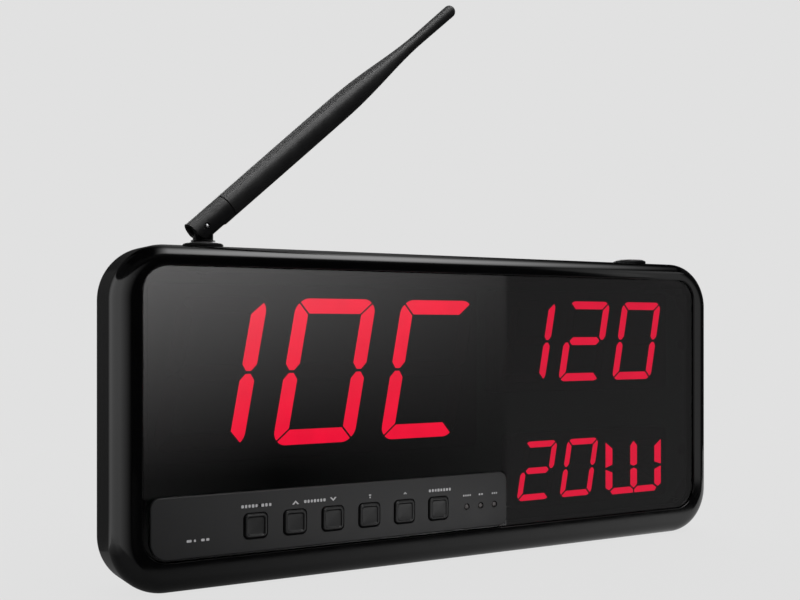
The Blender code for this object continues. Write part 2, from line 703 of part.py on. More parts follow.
def control_plate(look):
    bm = bmesh.new()
    rings = [plate_ring(0, PLATE_BACK), plate_ring(0, PLATE_EDGE - PLATE_PROUD)]
    rings.append(plate_ring(PLATE_EDGE * 0.3, PLATE_EDGE * 0.3 - PLATE_PROUD))
    rings.append(plate_ring(PLATE_EDGE, -PLATE_PROUD))
    loft(bm, rings)
    plate = finish(bm, "control_plate", look)
    holes = bmesh.new()
    near = -PLATE_PROUD - CUT_PAST
    far = PLATE_BACK + CUT_PAST
    for x in KEY_XS:
        size = KEY_SIZE + 2 * RUN_GAP
        outline = rounded_rectangle(size, size, KEY_RADIUS + RUN_GAP, (x, KEY_HEIGHT), 2)
        prism(holes, outline, near, far)
    for x in INDICATOR_XS:
        rod(holes, (x, INDICATOR_HEIGHT), INDICATOR_RADIUS + RUN_GAP, near, far, 12)
    return shape(plate, holes, "DIFFERENCE", "key holes")


def square_ring(x, size, radius, depth):
    return at_depth(rounded_rectangle(size, size, radius, (x, KEY_HEIGHT), 2), depth)


def push_key(index, x, look):
    """A dished cap with a collar behind the plate and a stem whose end is the switch's plunger."""
    collar_front = PLATE_BACK + RUN_GAP
    collar_back = collar_front + KEY_COLLAR_THICK
    collar = KEY_SIZE + 2 * KEY_COLLAR_WIDTH
    shoulder = SWITCH_FRONT - KEY_TRAVEL - RUN_GAP
    plunger_end = SWITCH_BACK - SWITCH_FLOOR - KEY_TRAVEL - RUN_GAP
    rim = KEY_SIZE - 2 * KEY_RIM
    rings = [
        square_ring(x, rim - 2 * KEY_DISH, KEY_RADIUS / 2, KEY_FACE + KEY_DISH),
        square_ring(x, rim, KEY_RADIUS / 2 + KEY_DISH, KEY_FACE),
        square_ring(x, KEY_SIZE - 2 * KEY_EDGE, KEY_RADIUS - KEY_EDGE / 2, KEY_FACE),
        square_ring(x, KEY_SIZE - 0.6 * KEY_EDGE, KEY_RADIUS, KEY_FACE + 0.3 * KEY_EDGE),
        square_ring(x, KEY_SIZE, KEY_RADIUS, KEY_FACE + KEY_EDGE),
        square_ring(x, KEY_SIZE, KEY_RADIUS, collar_front),
        square_ring(x, collar, KEY_RADIUS + KEY_COLLAR_WIDTH, collar_front),
        square_ring(x, collar, KEY_RADIUS + KEY_COLLAR_WIDTH, collar_back),
        square_ring(x, KEY_STEM, KEY_STEM / 5, collar_back),
        square_ring(x, KEY_STEM, KEY_STEM / 5, shoulder),
        square_ring(x, KEY_PLUNGER, KEY_PLUNGER / 5, shoulder),
        square_ring(x, KEY_PLUNGER, KEY_PLUNGER / 5, plunger_end),
    ]
    bm = bmesh.new()
    loft(bm, rings)
    return finish(bm, f"key_{index}", look, (x, FRONT_Y + KEY_FACE, KEY_HEIGHT))


def key_switch(index, x, look):
    """A square switch body on the display board, bored for the key's plunger."""
    bm = bmesh.new()
    block(bm, (x, KEY_HEIGHT), (SWITCH_SIZE, SWITCH_SIZE), SWITCH_FRONT, SWITCH_BACK)
    body = finish(bm, f"key_switch_{index}", look, (x, FRONT_Y + SWITCH_FRONT, KEY_HEIGHT), False)
    bore = bmesh.new()
    size = KEY_PLUNGER + 2 * RUN_GAP
    rings = [square_ring(x, size, size / 5, SWITCH_FRONT - CUT_PAST)]
    rings.append(square_ring(x, size, size / 5, SWITCH_BACK - SWITCH_FLOOR))
    loft(bore, rings)
    return shape(body, bore, "DIFFERENCE", "bore")


def indicator(index, x, look):
    """A light-emitting diode whose tip shows in the plate and whose flange sits on the board."""
    tip = -PLATE_PROUD - INDICATOR_PROUD
    dome = INDICATOR_RADIUS * 0.5
    flange = SWITCH_BACK - 1.0 * MM
    profile = [
        (INDICATOR_RADIUS * 0.5, tip),
        (INDICATOR_RADIUS * 0.87, tip + dome * 0.4),
        (INDICATOR_RADIUS, tip + dome),
        (INDICATOR_RADIUS, flange),
        (INDICATOR_BASE, flange),
        (INDICATOR_BASE, SWITCH_BACK),
    ]
    bm = bmesh.new()
    turned(bm, profile, backward((x, INDICATOR_HEIGHT)), 12)
    return finish(bm, f"indicator_{index}", look)


# ---------------------------------------------------------------- readouts
def grown(outline, distance):
    """Offsets a convex counter-clockwise outline outward."""
    lines = []
    for (x0, z0), (x1, z1) in zip(outline, outline[1:] + outline[:1]):
        length = hypot(x1 - x0, z1 - z0)
        out = ((z1 - z0) / length * distance, (x0 - x1) / length * distance)
        lines.append(((x0 + out[0], z0 + out[1]), (x1 - x0, z1 - z0)))
    corners = []
    for (start, along), (other, across) in zip([lines[-1], *lines[:-1]], lines):
        turn = along[0] * across[1] - along[1] * across[0]
        gap = (other[0] - start[0], other[1] - start[1])
        share = (gap[0] * across[1] - gap[1] * across[0]) / turn
        corners.append((start[0] + along[0] * share, start[1] + along[1] * share))
    return corners


def mirrored(outline, across, up):
    """Mirrors an outline and keeps its sense."""
    points = [(x * across, z * up) for x, z in outline]
    return points if across * up > 0 else points[::-1]


def seven_segments(width, height, stroke):
    """The outlines a to g of an upright digit: mitred and rounded corners, blunt tips at the waist."""
    side = width / 2
    top = height / 2
    half = stroke / 2
    gap = SEGMENT_GAP + SEGMENT_WALL / 2
    bend = stroke * 0.85
    blunt = half * 0.35
    waist = gap * 1.2
    shoulder = waist + half * 0.85
    reach = side - half - blunt - 2 * gap
    turn = [(bend * (1 - cos(radians(a))), bend * (1 - sin(radians(a)))) for a in (0, 45)]
    bar_end = [(side - stroke - gap, top - stroke)]
    bar_end += [(side - rise - gap, top - run) for run, rise in reversed(turn)]
    bar = bar_end + [(-x, z) for x, z in reversed(bar_end)]
    post = [(side - run, top - rise - gap) for run, rise in turn]
    post += [
        (side - stroke, top - stroke - gap),
        (side - stroke, shoulder),
        (side - half - blunt, waist),
        (side - half + blunt, waist),
        (side, shoulder),
    ]
    tip = [(reach - half * 0.9, -half), (reach, -blunt / 2), (reach, blunt / 2), (reach - half * 0.9, half)]
    return {
        "a": bar,
        "b": post,
        "c": mirrored(post, 1, -1),
        "d": mirrored(bar, 1, -1),
        "e": mirrored(post, -1, -1),
        "f": mirrored(post, -1, 1),
        "g": tip + [(-x, -z) for x, z in tip],
    }


def unit_segments(width, height, post, bar):
    """The sixteen outlines of the upright unit symbol: posts, spine, bars, arms and diagonals."""
    side = width / 2
    top = height / 2
    half = post / 2
    gap = SEGMENT_GAP + SEGMENT_WALL / 2
    inner = side - post
    slope = 0.72
    upper_post = [
        (side, top),
        (inner, top - post * slope),
        (inner, gap + post * 0.3),
        (side, gap),
    ]
    lower_post = [
        (side, -gap),
        (inner, -gap - post * 0.35),
        (inner, bar * 1.15 - top),
        (side - half, bar * 0.7 - top),
        (side, bar * 1.1 - top),
    ]
    upper_spine = [
        (half, gap + post * 0.17),
        (half, top - half),
        (0, top),
        (-half, top - half),
        (-half, gap + post * 0.17),
        (0, gap),
    ]
    lower_spine = [
        (0, -gap),
        (-half, -gap - post * 0.2),
        (-half, bar * 1.3 - top),
        (0, bar * 0.72 - top),
        (half, bar * 1.3 - top),
        (half, -gap - post * 0.2),
    ]
    foot = [
        (inner - post * 0.25, bar - top),
        (half + gap * 0.4, bar - top),
        (gap * 0.75, bar * 0.5 - top),
        (gap * 0.75, -top),
        (inner, -top),
        (side - post * 0.69, bar * 0.5 - top),
    ]
    head_end = side - 2.5 * gap
    head = [
        (head_end, top),
        (2 * gap, top),
        (2 * gap + bar, top - bar),
        (head_end - bar / slope, top - bar),
    ]
    arm = [
        (inner - 2 * gap, 0),
        (inner - 2 * gap - bar / 2, bar / 2),
        (half + 2 * gap + bar / 2, bar / 2),
        (half + 2 * gap, 0),
        (half + 2 * gap + bar / 2, -bar / 2),
        (inner - 2 * gap - bar / 2, -bar / 2),
    ]
    near = (half + 2.2 * gap, bar / 2 + 2.2 * gap)
    far = (inner - 2.2 * gap, top - bar - 2.2 * gap)
    diagonal = [
        near,
        (near[0] + half, near[1]),
        (far[0], far[1] - half),
        far,
        (far[0] - half, far[1]),
        (near[0], near[1] + half),
    ]
    outlines = {"upper spine": upper_spine, "lower spine": lower_spine}
    for across, hand in ((1, "right"), (-1, "left")):
        outlines[f"{hand} upper post"] = mirrored(upper_post, across, 1)
        outlines[f"{hand} lower post"] = mirrored(lower_post, across, 1)
        outlines[f"{hand} foot"] = mirrored(foot, across, 1)
        outlines[f"{hand} head"] = mirrored(head, across, 1)
        outlines[f"{hand} arm"] = mirrored(arm, across, 1)
        outlines[f"{hand} upper diagonal"] = mirrored(diagonal, across, 1)
        outlines[f"{hand} lower diagonal"] = mirrored(diagonal, across, -1)
    return outlines


def digit_row(centre, count, pitch, size, first=None):
    """The segments of a row of slanted digits, as (outline, middle of the digit, slant)."""
    start = -pitch * (count - 1) / 2 if first is None else first
    row = []
    for index in range(count):
        middle = (centre[0] + start + pitch * index, centre[1])
        row += [(outline, middle, SLANT) for outline in seven_segments(*size).values()]
    return row


def placed(outline, middle, slant):
    """Slants an outline about its digit's middle and moves it to its place."""
    return [(middle[0] + x + z * tan(slant), middle[1] + z) for x, z in outline]


def readout(name, row, centre, body, reflector_look, segment_look):
    """A reflector block with a well for each segment, and the resin cast into it from behind."""
    reflector = bmesh.new()
    outline = rounded_rectangle(*body, BODY_RADIUS, centre, 3)
    prism(reflector, outline, READOUT_FRONT, READOUT_BACK)
    made = finish(reflector, f"{name}_reflector", reflector_look, round_edges=False)

    cuts = bmesh.new()
    resin = bmesh.new()
    segments = bmesh.new()
    near = READOUT_FRONT + SEGMENT_SUNK
    pocket = (body[0] - 2 * RESIN_WALL, body[1] - 2 * RESIN_WALL)
    block(cuts, centre, pocket, RESIN_FRONT, READOUT_BACK + CUT_PAST)
    wells = bmesh.new()
    for outline, middle, slant in row:
        well = placed(grown(outline, SEGMENT_GAP), middle, slant)
        prism(wells, well, READOUT_FRONT - CUT_PAST, RESIN_FRONT + EMBED)
        prism(segments, placed(outline, middle, slant), near, RESIN_FRONT + SEAT_GAP + EMBED)
    shape(made, cuts, "DIFFERENCE", "resin pocket")
    shape(made, wells, "DIFFERENCE", "wells")
    fill = (pocket[0] - 2 * SEAT_GAP, pocket[1] - 2 * SEAT_GAP)
    block(resin, centre, fill, RESIN_FRONT + SEAT_GAP, READOUT_BACK)
    cast = finish(resin, f"{name}_segments", segment_look, round_edges=False)
    shape(cast, segments, "UNION", "segments")


def readouts(reflector_look, segment_look):
    row = digit_row(LARGE_CENTRE, LARGE_COUNT, LARGE_PITCH, LARGE_DIGIT)
    readout("large_readout", row, LARGE_CENTRE, LARGE_BODY, reflector_look, segment_look)
    row = digit_row(MEDIUM_CENTRE, MEDIUM_COUNT, MEDIUM_PITCH, MEDIUM_DIGIT)
    readout("upper_readout", row, MEDIUM_CENTRE, MEDIUM_BODY, reflector_look, segment_look)
    row = digit_row(SMALL_CENTRE, SMALL_COUNT, SMALL_PITCH, SMALL_DIGIT, SMALL_FIRST)
    unit = (SMALL_CENTRE[0] + UNIT_PLACE[0], SMALL_CENTRE[1] + UNIT_PLACE[1])
    row += [(outline, unit, 0.0) for outline in unit_segments(*UNIT_DIGIT).values()]
    readout("lower_readout", row, SMALL_CENTRE, SMALL_BODY, reflector_look, segment_look)


# ---------------------------------------------------------------- boards
def display_board(look):
    across = PANEL_WIDTH / 2 - DISPLAY_BOARD_SIDE
    up = PANEL_HEIGHT / 2 - DISPLAY_BOARD_END
    corner = DISPLAY_BOARD_CORNER
    quarter = [(across, up - corner), (across - corner, up)]
    outline = quarter + [(-x, z) for x, z in reversed(quarter)]
    outline += [(-x, -z) for x, z in outline]
    outline = [(x, z + PANEL_HEIGHT / 2) for x, z in outline]
    bm = bmesh.new()
    prism(bm, outline, DISPLAY_BOARD_FRONT, DISPLAY_BOARD_BACK)
    board = finish(bm, "display_board", look, round_edges=False)
    holes = bmesh.new()
    for centre in board_post_places():
        near = DISPLAY_BOARD_FRONT - CUT_PAST
        rod(holes, centre, BOARD_SCREW["shank"] + 2 * RUN_GAP, near, DISPLAY_BOARD_BACK + CUT_PAST, 12)
    return shape(board, holes, "DIFFERENCE", "screw holes")


def main_board(look):
    bm = bmesh.new()
    block(bm, MAIN_BOARD_CENTRE, MAIN_BOARD_SIZE, MAIN_BOARD_FRONT, MAIN_BOARD_BACK)
    board = finish(bm, "main_board", look, round_edges=False)
    holes = bmesh.new()
    for centre in main_board_places():
        near = MAIN_BOARD_FRONT - CUT_PAST
        rod(holes, centre, BOARD_SCREW["shank"] + 2 * RUN_GAP, near, MAIN_BOARD_BACK + CUT_PAST, 12)
    return shape(board, holes, "DIFFERENCE", "screw holes")


def on_main_board(across, up):
    """A place on the main board, from its middle."""
    return (MAIN_BOARD_CENTRE[0] + across, MAIN_BOARD_CENTRE[1] + up)


CHIP_HEIGHT = 1.5 * MM
CONTROLLER = ((-10 * MM, 4 * MM), (12 * MM, 12 * MM))  # place from the board's middle, size
AUDIO_CHIP = ((26 * MM, -6 * MM), (6 * MM, 10 * MM))
DISPLAY_DRIVER = ((-20 * MM, 76 * MM), (20 * MM, 8 * MM))
CAN_PLACES = ((36 * MM, 24 * MM), (36 * MM, 12 * MM))
CAN_RADIUS = 4.0 * MM
CAN_HEIGHT = 10.5 * MM
RADIO = ((-34 * MM, 20 * MM), (22 * MM, 15 * MM))
RADIO_HEIGHT = 3.6 * MM
RIBBON_X = -48 * MM
RIBBON_LOW = 28 * MM
RIBBON_HIGH = 47 * MM
RIBBON_WIDTH = 18 * MM
RIBBON_THICK = 0.8 * MM
PLUG_SIZE = (22 * MM, 5 * MM)
PLUG_HEIGHT = 4.5 * MM


def parts_on_boards(looks):
    seat = MAIN_BOARD_FRONT - SEAT_GAP
    for name, (place, size) in (("controller_chip", CONTROLLER), ("audio_chip", AUDIO_CHIP)):
        bm = bmesh.new()
        block(bm, on_main_board(*place), size, seat - CHIP_HEIGHT, seat)
        finish(bm, name, looks["chip"], round_edges=False)

    for index, place in enumerate(CAN_PLACES, 1):
        top = seat - CAN_HEIGHT
        edge = CAN_RADIUS * 0.1
        profile = [(CAN_RADIUS - edge, top), (CAN_RADIUS, top + edge)]
        profile += [(CAN_RADIUS, seat - 4 * edge), (CAN_RADIUS - edge, seat - 3 * edge)]
        profile += [(CAN_RADIUS, seat - 2 * edge), (CAN_RADIUS, seat)]
        bm = bmesh.new()
        turned(bm, profile, backward(on_main_board(*place)), 12)
        finish(bm, f"capacitor_{index}", looks["can"])

    place, size = RADIO
    bm = bmesh.new()
    block(bm, on_main_board(*place), size, seat - RADIO_HEIGHT, seat)
    soften(finish(bm, "radio_module", looks["steel"], round_edges=False), 0.4 * MM)

    near = DISPLAY_BOARD_BACK + SEAT_GAP
    bm = bmesh.new()
    block(bm, DISPLAY_DRIVER[0], DISPLAY_DRIVER[1], near, near + CHIP_HEIGHT)
    finish(bm, "display_driver", looks["chip"], round_edges=False)


def ribbon_link(look):
    """A flat cable that bows between the two boards, moulded into a plug at each end."""
    low_near = DISPLAY_BOARD_BACK + SEAT_GAP
    high_far = MAIN_BOARD_FRONT - SEAT_GAP
    start = low_near + PLUG_HEIGHT - EMBED
    end = high_far - PLUG_HEIGHT + EMBED
    rise = RIBBON_HIGH - RIBBON_LOW
    steps = 12
    rings = []
    for index in range(steps + 1):
        turn = pi * index / steps
        height = RIBBON_LOW + rise * (1 - cos(turn)) / 2
        depth = start + (end - start) * index / steps
        slope = rise * sin(turn) * pi / 2
        length = hypot(slope, end - start)
        out_z = (end - start) / length * RIBBON_THICK / 2
        out_d = -slope / length * RIBBON_THICK / 2
        ring = []
        for side, face in ((1, 1), (-1, 1), (-1, -1), (1, -1)):
            x = RIBBON_X + side * RIBBON_WIDTH / 2
            ring.append((x, FRONT_Y + depth + face * out_d, height + face * out_z))
        rings.append(ring)
    bm = bmesh.new()
    loft(bm, rings)
    ribbon = finish(bm, "ribbon_link", look)
    plugs = bmesh.new()
    block(plugs, (RIBBON_X, RIBBON_LOW), PLUG_SIZE, low_near, low_near + PLUG_HEIGHT)
    block(plugs, (RIBBON_X, RIBBON_HIGH), PLUG_SIZE, high_far - PLUG_HEIGHT, high_far)
    shape(ribbon, plugs, "UNION", "plugs")


# ---------------------------------------------------------------- rear fittings
def speaker(looks):
    """A round speaker in its seat on the rear cover: pressed frame, magnet, and cone with coil."""
    face = COVER_INSIDE - SEAT_GAP
    rim = SPEAKER_RIM * 0.8
    sheet = 0.8 * MM
    back = face - SPEAKER_DEPTH
    throat = MAGNET_RADIUS * 0.6
    seat = SPEAKER_RADIUS * 0.86
    frame = [
        (SPEAKER_RADIUS, face),
        (SPEAKER_RADIUS, face - rim),
        (seat - sheet, face - rim),
        (MAGNET_RADIUS + sheet, back),
        (throat, back),
        (throat, back + sheet),
        (MAGNET_RADIUS, back + sheet),
        (seat - 2 * sheet, face - sheet),
        (seat, face - sheet),
        (seat, face),
    ]
    bm = bmesh.new()
    turned(bm, frame, backward(SPEAKER_CENTRE), 20, closed=True)
    finish(bm, "speaker_frame", looks["steel"])

    far = back - SEAT_GAP
    edge = 0.5 * MM
    magnet = [(MAGNET_RADIUS - edge, far - MAGNET_THICK), (MAGNET_RADIUS, far - MAGNET_THICK + edge)]
    magnet += [(MAGNET_RADIUS, far - edge), (MAGNET_RADIUS - edge, far)]
    bm = bmesh.new()
    turned(bm, magnet, backward(SPEAKER_CENTRE), 20)
    finish(bm, "speaker_magnet", looks["magnet"])

    coil = throat - 3 * RUN_GAP
    edge_radius = seat - RUN_GAP
    cone = [
        (coil * 0.2, face - SPEAKER_DEPTH * 0.44),
        (coil * 0.7, face - SPEAKER_DEPTH * 0.48),
        (coil, face - SPEAKER_DEPTH * 0.56),
        (edge_radius - 3 * sheet, face - sheet / 4),
        (edge_radius - 2 * sheet, face),
        (edge_radius, face),
        (edge_radius, face - sheet + RUN_GAP),
        (edge_radius - 3 * sheet, face - sheet + RUN_GAP),
        (coil + sheet / 4, face - SPEAKER_DEPTH * 0.66),
        (coil, back + sheet),
        (coil * 0.8, back + sheet),
        (coil * 0.8, face - SPEAKER_DEPTH * 0.66),
        (coil * 0.2, face - SPEAKER_DEPTH * 0.60),
    ]
    bm = bmesh.new()
    turned(bm, cone, backward(SPEAKER_CENTRE), 20)
    finish(bm, "speaker_cone", looks["cone"])


def power_inlet(looks):
    """A round socket whose neck passes the cover's pocket and takes a nut from outside."""
    pocket = PANEL_DEPTH - INLET_NUT_THICK - 2 * SEAT_GAP
    shoulder = pocket - COVER_WALL - SEAT_GAP
    rear = PANEL_DEPTH - SEAT_GAP
    profile = [
        (INLET_BODY, shoulder - INLET_BODY_DEPTH),
        (INLET_BODY, shoulder),
        (INLET_NECK, shoulder),
        (INLET_NECK, rear),
        (INLET_SOCKET, rear),
        (INLET_SOCKET, shoulder - INLET_BODY_DEPTH / 2),
        (INLET_PIN, shoulder - INLET_BODY_DEPTH / 2),
        (INLET_PIN, rear - INLET_PIN),
    ]
    bm = bmesh.new()
    turned(bm, profile, backward(INLET_CENTRE), 20)
    finish(bm, "power_inlet", looks["black"])

    near = pocket + SEAT_GAP
    bm = bmesh.new()
    prism(bm, hexagon(INLET_CENTRE, INLET_NUT_FLATS), near, near + INLET_NUT_THICK)
    nut = finish(bm, "power_inlet_nut", looks["steel"], round_edges=False)
    bore = bmesh.new()
    rod(bore, INLET_CENTRE, INLET_NECK + RUN_GAP, near - CUT_PAST, near + INLET_NUT_THICK + CUT_PAST, 20)
    shape(nut, bore, "DIFFERENCE", "bore")


def power_switch(looks):
    """A slide switch behind the cover; its knob is held in the body and reaches into the cover's slot."""
    x, z = SLIDE_CENTRE
    width, height, depth = SLIDE_BODY
    far = COVER_INSIDE - SEAT_GAP
    floor = far - depth * 0.6
    bm = bmesh.new()
    block(bm, SLIDE_CENTRE, (width, height), far - depth, far)
    body = finish(bm, "power_switch", looks["steel"], round_edges=False)
    channel = bmesh.new()
    size = (SLIDE_BASE[0] + SLIDE_THROW + 2 * RUN_GAP, SLIDE_BASE[1] + 2 * RUN_GAP)
    block(channel, SLIDE_CENTRE, size, floor, far + CUT_PAST)
    shape(body, channel, "DIFFERENCE", "channel")

    rest = (x - SLIDE_THROW / 2, z)
    base_front = floor + RUN_GAP
    base_back = base_front + SLIDE_BASE[2]
    rings = []
    for size, place in (
        (SLIDE_BASE, base_front),
        (SLIDE_BASE, base_back),
        (SLIDE_KNOB, base_back),
        (SLIDE_KNOB, PANEL_DEPTH - SEAT_GAP),
    ):
        rings.append(at_depth(rounded_rectangle(size[0], size[1], 0.4 * MM, rest, 2), place))
    bm = bmesh.new()
    loft(bm, rings)
    finish(bm, "power_switch_knob", looks["black"], (rest[0], FRONT_Y + PANEL_DEPTH, z), False)


# ---------------------------------------------------------------- aerial
def top_flange(radius_top, extra_height=0.0):
    """The profile above the case of a round fitting: a short lip, then a shallow cone."""
    lip = FLANGE_FOOT + FLANGE_LIP
    return [
        (BARREL_RADIUS, FLANGE_FOOT),
        (FLANGE_RADIUS, FLANGE_FOOT),
        (FLANGE_RADIUS, lip - FLANGE_LIP * 0.2),
        (FLANGE_RADIUS - FLANGE_LIP * 0.2, lip),
        (radius_top, FLANGE_TOP + extra_height),
    ]


def aerial_bushing(look):
    """The fixed flange with its threaded barrel, bored for the neck's shaft."""
    bm = bmesh.new()
    profile = [(BARREL_BORE, BARREL_END), (BARREL_RADIUS, BARREL_END)]
    profile += top_flange(NECK_RADIUS)
    profile.append((BARREL_BORE, FLANGE_TOP))
    turned(bm, profile, upright(AERIAL_X, AERIAL_Y), 24, closed=True)
    return finish(bm, "aerial_bushing", look)


def blanking_plug(look):
    """Closes the second aerial hole: the same footprint, a flat top, and a stem with a snap bead."""
    wall_foot = PANEL_HEIGHT - WALL - SEAT_GAP
    bead = 0.8 * MM
    profile = [
        (BARREL_RADIUS - bead, wall_foot - 4 * bead),
        (BARREL_RADIUS + PLUG_BEAD, wall_foot - bead),
        (BARREL_RADIUS + PLUG_BEAD, wall_foot),
    ]
    profile += [(BARREL_RADIUS, wall_foot)] + top_flange(PLUG_TOP_RADIUS, FLANGE_CONE)[0:]
    bm = bmesh.new()
    turned(bm, profile, upright(-AERIAL_X, AERIAL_Y), 24)
    return finish(bm, "blanking_plug", look)


def aerial_nut(look):
    top = PANEL_HEIGHT - WALL - SEAT_GAP
    outline = hexagon((AERIAL_X, AERIAL_Y), 2 * (BARREL_RADIUS + NUT_WALL))
    bm = bmesh.new()
    loft(bm, [[(x, y, height) for x, y in outline] for height in (top - NUT_THICK, top)])
    nut = finish(bm, "aerial_nut", look, round_edges=False)
    bore = bmesh.new()
    radius = BARREL_RADIUS + RUN_GAP
    span = [(radius, top - NUT_THICK - CUT_PAST), (radius, top + CUT_PAST)]
    turned(bore, span, upright(AERIAL_X, AERIAL_Y))
    return shape(nut, bore, "DIFFERENCE", "bore")


def neck_profile():
    """Disc, shaft and clip groove of the swivelling neck, from the bottom up."""
    shaft = BARREL_BORE - RUN_GAP
    groove_top = BARREL_END - SEAT_GAP
    groove_foot = groove_top - CLIP_THICK - 2 * RUN_GAP
    return [
        (shaft * 0.8, groove_foot - CLIP_THICK * 2),
        (shaft, groove_foot - CLIP_THICK * 1.4),
        (shaft, groove_foot),
        (GROOVE_RADIUS, groove_foot),
        (GROOVE_RADIUS, groove_top),
        (shaft, groove_top),
        (shaft, NECK_FOOT),
        (NECK_RADIUS, NECK_FOOT),
        (NECK_RADIUS, NECK_TOP),
    ]


def swivel_neck(look, origin):
    """A round foot and shaft with a flat tongue that carries the hinge pin."""
    bm = bmesh.new()
    turned(bm, neck_profile(), upright(AERIAL_X, AERIAL_Y), 20)
    neck = finish(bm, "aerial_neck", look, origin)
    half = TONGUE_WIDTH / 2
    outline = arc((AERIAL_X, PIVOT_HEIGHT), half, 0, 180, 14)
    foot = NECK_TOP - NECK_DISC * 0.4
    outline += [(AERIAL_X - half, foot), (AERIAL_X + half, foot)]
    tongue = bmesh.new()
    near = AERIAL_DEPTH - TONGUE_THICK / 2
    prism(tongue, outline, near, near + TONGUE_THICK)
    hole = bmesh.new()
    centre = (AERIAL_X, PIVOT_HEIGHT)
    rod(hole, centre, PIN_RADIUS + RUN_GAP, near - CUT_PAST, near + TONGUE_THICK + CUT_PAST)
    shape(neck, tongue, "UNION", "tongue")
    return shape(neck, hole, "DIFFERENCE", "pin hole")


def neck_clip(look, origin):
    """A flat ring in the shaft's groove, under the bushing."""
    top = BARREL_END - SEAT_GAP - RUN_GAP
    bm = bmesh.new()
    inner = GROOVE_RADIUS + RUN_GAP
    profile = [(inner, top - CLIP_THICK), (CLIP_RADIUS, top - CLIP_THICK), (CLIP_RADIUS, top), (inner, top)]
    turned(bm, profile, upright(AERIAL_X, AERIAL_Y), 16, closed=True)
    return finish(bm, "aerial_clip", look, origin)


def along_aerial(a, b, distance):
    """Aerial pieces are made upright about the pivot, and lean with the empty that carries them."""
    return (a, b, distance)


def sleeve_side_outline():
    """The fork seen along the pin: square heel, round toe, relieved underside."""
    wide = SLEEVE_RADIUS + CUT_PAST
    toe = degrees(asin(SLEEVE_FLAT / SLEEVE_HEEL))
    ramp = FORK_DEPTH + (SLEEVE_RADIUS - SLEEVE_FLAT)
    outline = [(-wide, SLEEVE_LENGTH + CUT_PAST), (-wide, -SLEEVE_HEEL)]
    outline += arc((0, 0), SLEEVE_HEEL, -90, toe - 90, 6)
    outline += [(SLEEVE_FLAT, ramp), (wide, ramp + 2 * (wide - SLEEVE_FLAT))]
    outline.append((wide, SLEEVE_LENGTH + CUT_PAST))
    return outline


def side_extrusion(bm, outline, half):
    """An outline in the plane across the pin, extruded along the pin."""
    loft(bm, [[(x, side * half, z) for x, z in outline] for side in (-1, 1)])


def aerial_sleeve(look):
    bm = bmesh.new()
    ends = [(SLEEVE_RADIUS, -SLEEVE_HEEL), (SLEEVE_RADIUS, SLEEVE_LENGTH)]
    turned(bm, ends, along_aerial, 24)
    sleeve = finish(bm, "aerial_sleeve", look)

    side = bmesh.new()
    side_extrusion(side, sleeve_side_outline(), SLEEVE_RADIUS + CUT_PAST)
    shape(sleeve, side, "INTERSECT", "side outline")

    cuts = bmesh.new()
    wide = SLEEVE_RADIUS + 2 * CUT_PAST
    foot = -SLEEVE_HEEL - 2 * CUT_PAST
    fork = [(wide, FORK_DEPTH), (-wide, FORK_DEPTH), (-wide, foot), (wide, foot)]
    side_extrusion(cuts, fork, TONGUE_THICK / 2 + RUN_GAP)
    bore_radius = SPIGOT_RADIUS + RUN_GAP
    bore_foot = SLEEVE_LENGTH - SPIGOT_LENGTH - SEAT_GAP
    turned(cuts, [(bore_radius, bore_foot), (bore_radius, SLEEVE_LENGTH + CUT_PAST)], along_aerial)
    shape(sleeve, cuts, "DIFFERENCE", "fork and bore")

    pin_hole = bmesh.new()
    outline = circle((0, 0), PIN_RADIUS + RUN_GAP, 14)
    side_extrusion(pin_hole, outline, SLEEVE_RADIUS + CUT_PAST)
    return shape(sleeve, pin_hole, "DIFFERENCE", "pin hole")


def hinge_pin(look):
    bm = bmesh.new()
    side_extrusion(bm, circle((0, 0), PIN_RADIUS, 14), SLEEVE_RADIUS)
    return finish(bm, "aerial_hinge_pin", look)


def aerial_whip(look):
    """A moulded rubber rod: slightly bellied, drawn in beyond its middle, round at the tip."""
    foot = SLEEVE_LENGTH + SEAT_GAP
    profile = [(SPIGOT_RADIUS, foot - SPIGOT_LENGTH), (SPIGOT_RADIUS, foot), (WHIP_RADIUS, foot)]
    profile.append((WHIP_RADIUS + (WHIP_BELLY - WHIP_RADIUS) * 0.5, (foot + WHIP_BELLY_AT) / 2))
    steps = 6
    for index in range(steps + 1):
        share = index / steps
        fall = (1 - cos(pi * share**WHIP_FALL)) / 2
        height = WHIP_BELLY_AT + (WHIP_NARROW_AT - WHIP_BELLY_AT) * share
        profile.append((WHIP_BELLY + (WHIP_NARROW - WHIP_BELLY) * fall, height))
    dome = 3
    for index in range(dome):
        turn = pi / 2 * index / dome
        profile.append((WHIP_TIP * cos(turn), WHIP_LENGTH - WHIP_TIP * (1 - sin(turn))))
    profile.append((WHIP_TIP * 0.15, WHIP_LENGTH))
    bm = bmesh.new()
    turned(bm, profile, along_aerial, 18)
    return finish(bm, "aerial_whip", look)


def aerial(looks):
    aerial_bushing(looks["satin"])
    aerial_nut(looks["steel"])
    swivel = bpy.data.objects.new("aerial_swivel_axis", None)
    swivel.location = (AERIAL_X, AERIAL_Y, NECK_FOOT)
    bpy.context.collection.objects.link(swivel)
    for made in (
        swivel_neck(looks["satin"], tuple(swivel.location)),
        neck_clip(looks["steel"], tuple(swivel.location)),
    ):
        made.location = (0, 0, 0)
        made.parent = swivel
    fold = bpy.data.objects.new("aerial_fold_axis", None)
    fold.parent = swivel
    fold.location = (0, 0, PIVOT_HEIGHT - NECK_FOOT)
    fold.rotation_euler = (0, LEAN, 0)
    bpy.context.collection.objects.link(fold)
    for made in (
        aerial_sleeve(looks["satin"]),
        hinge_pin(looks["steel"]),
        aerial_whip(looks["rubber"]),
    ):
        made.parent = fold


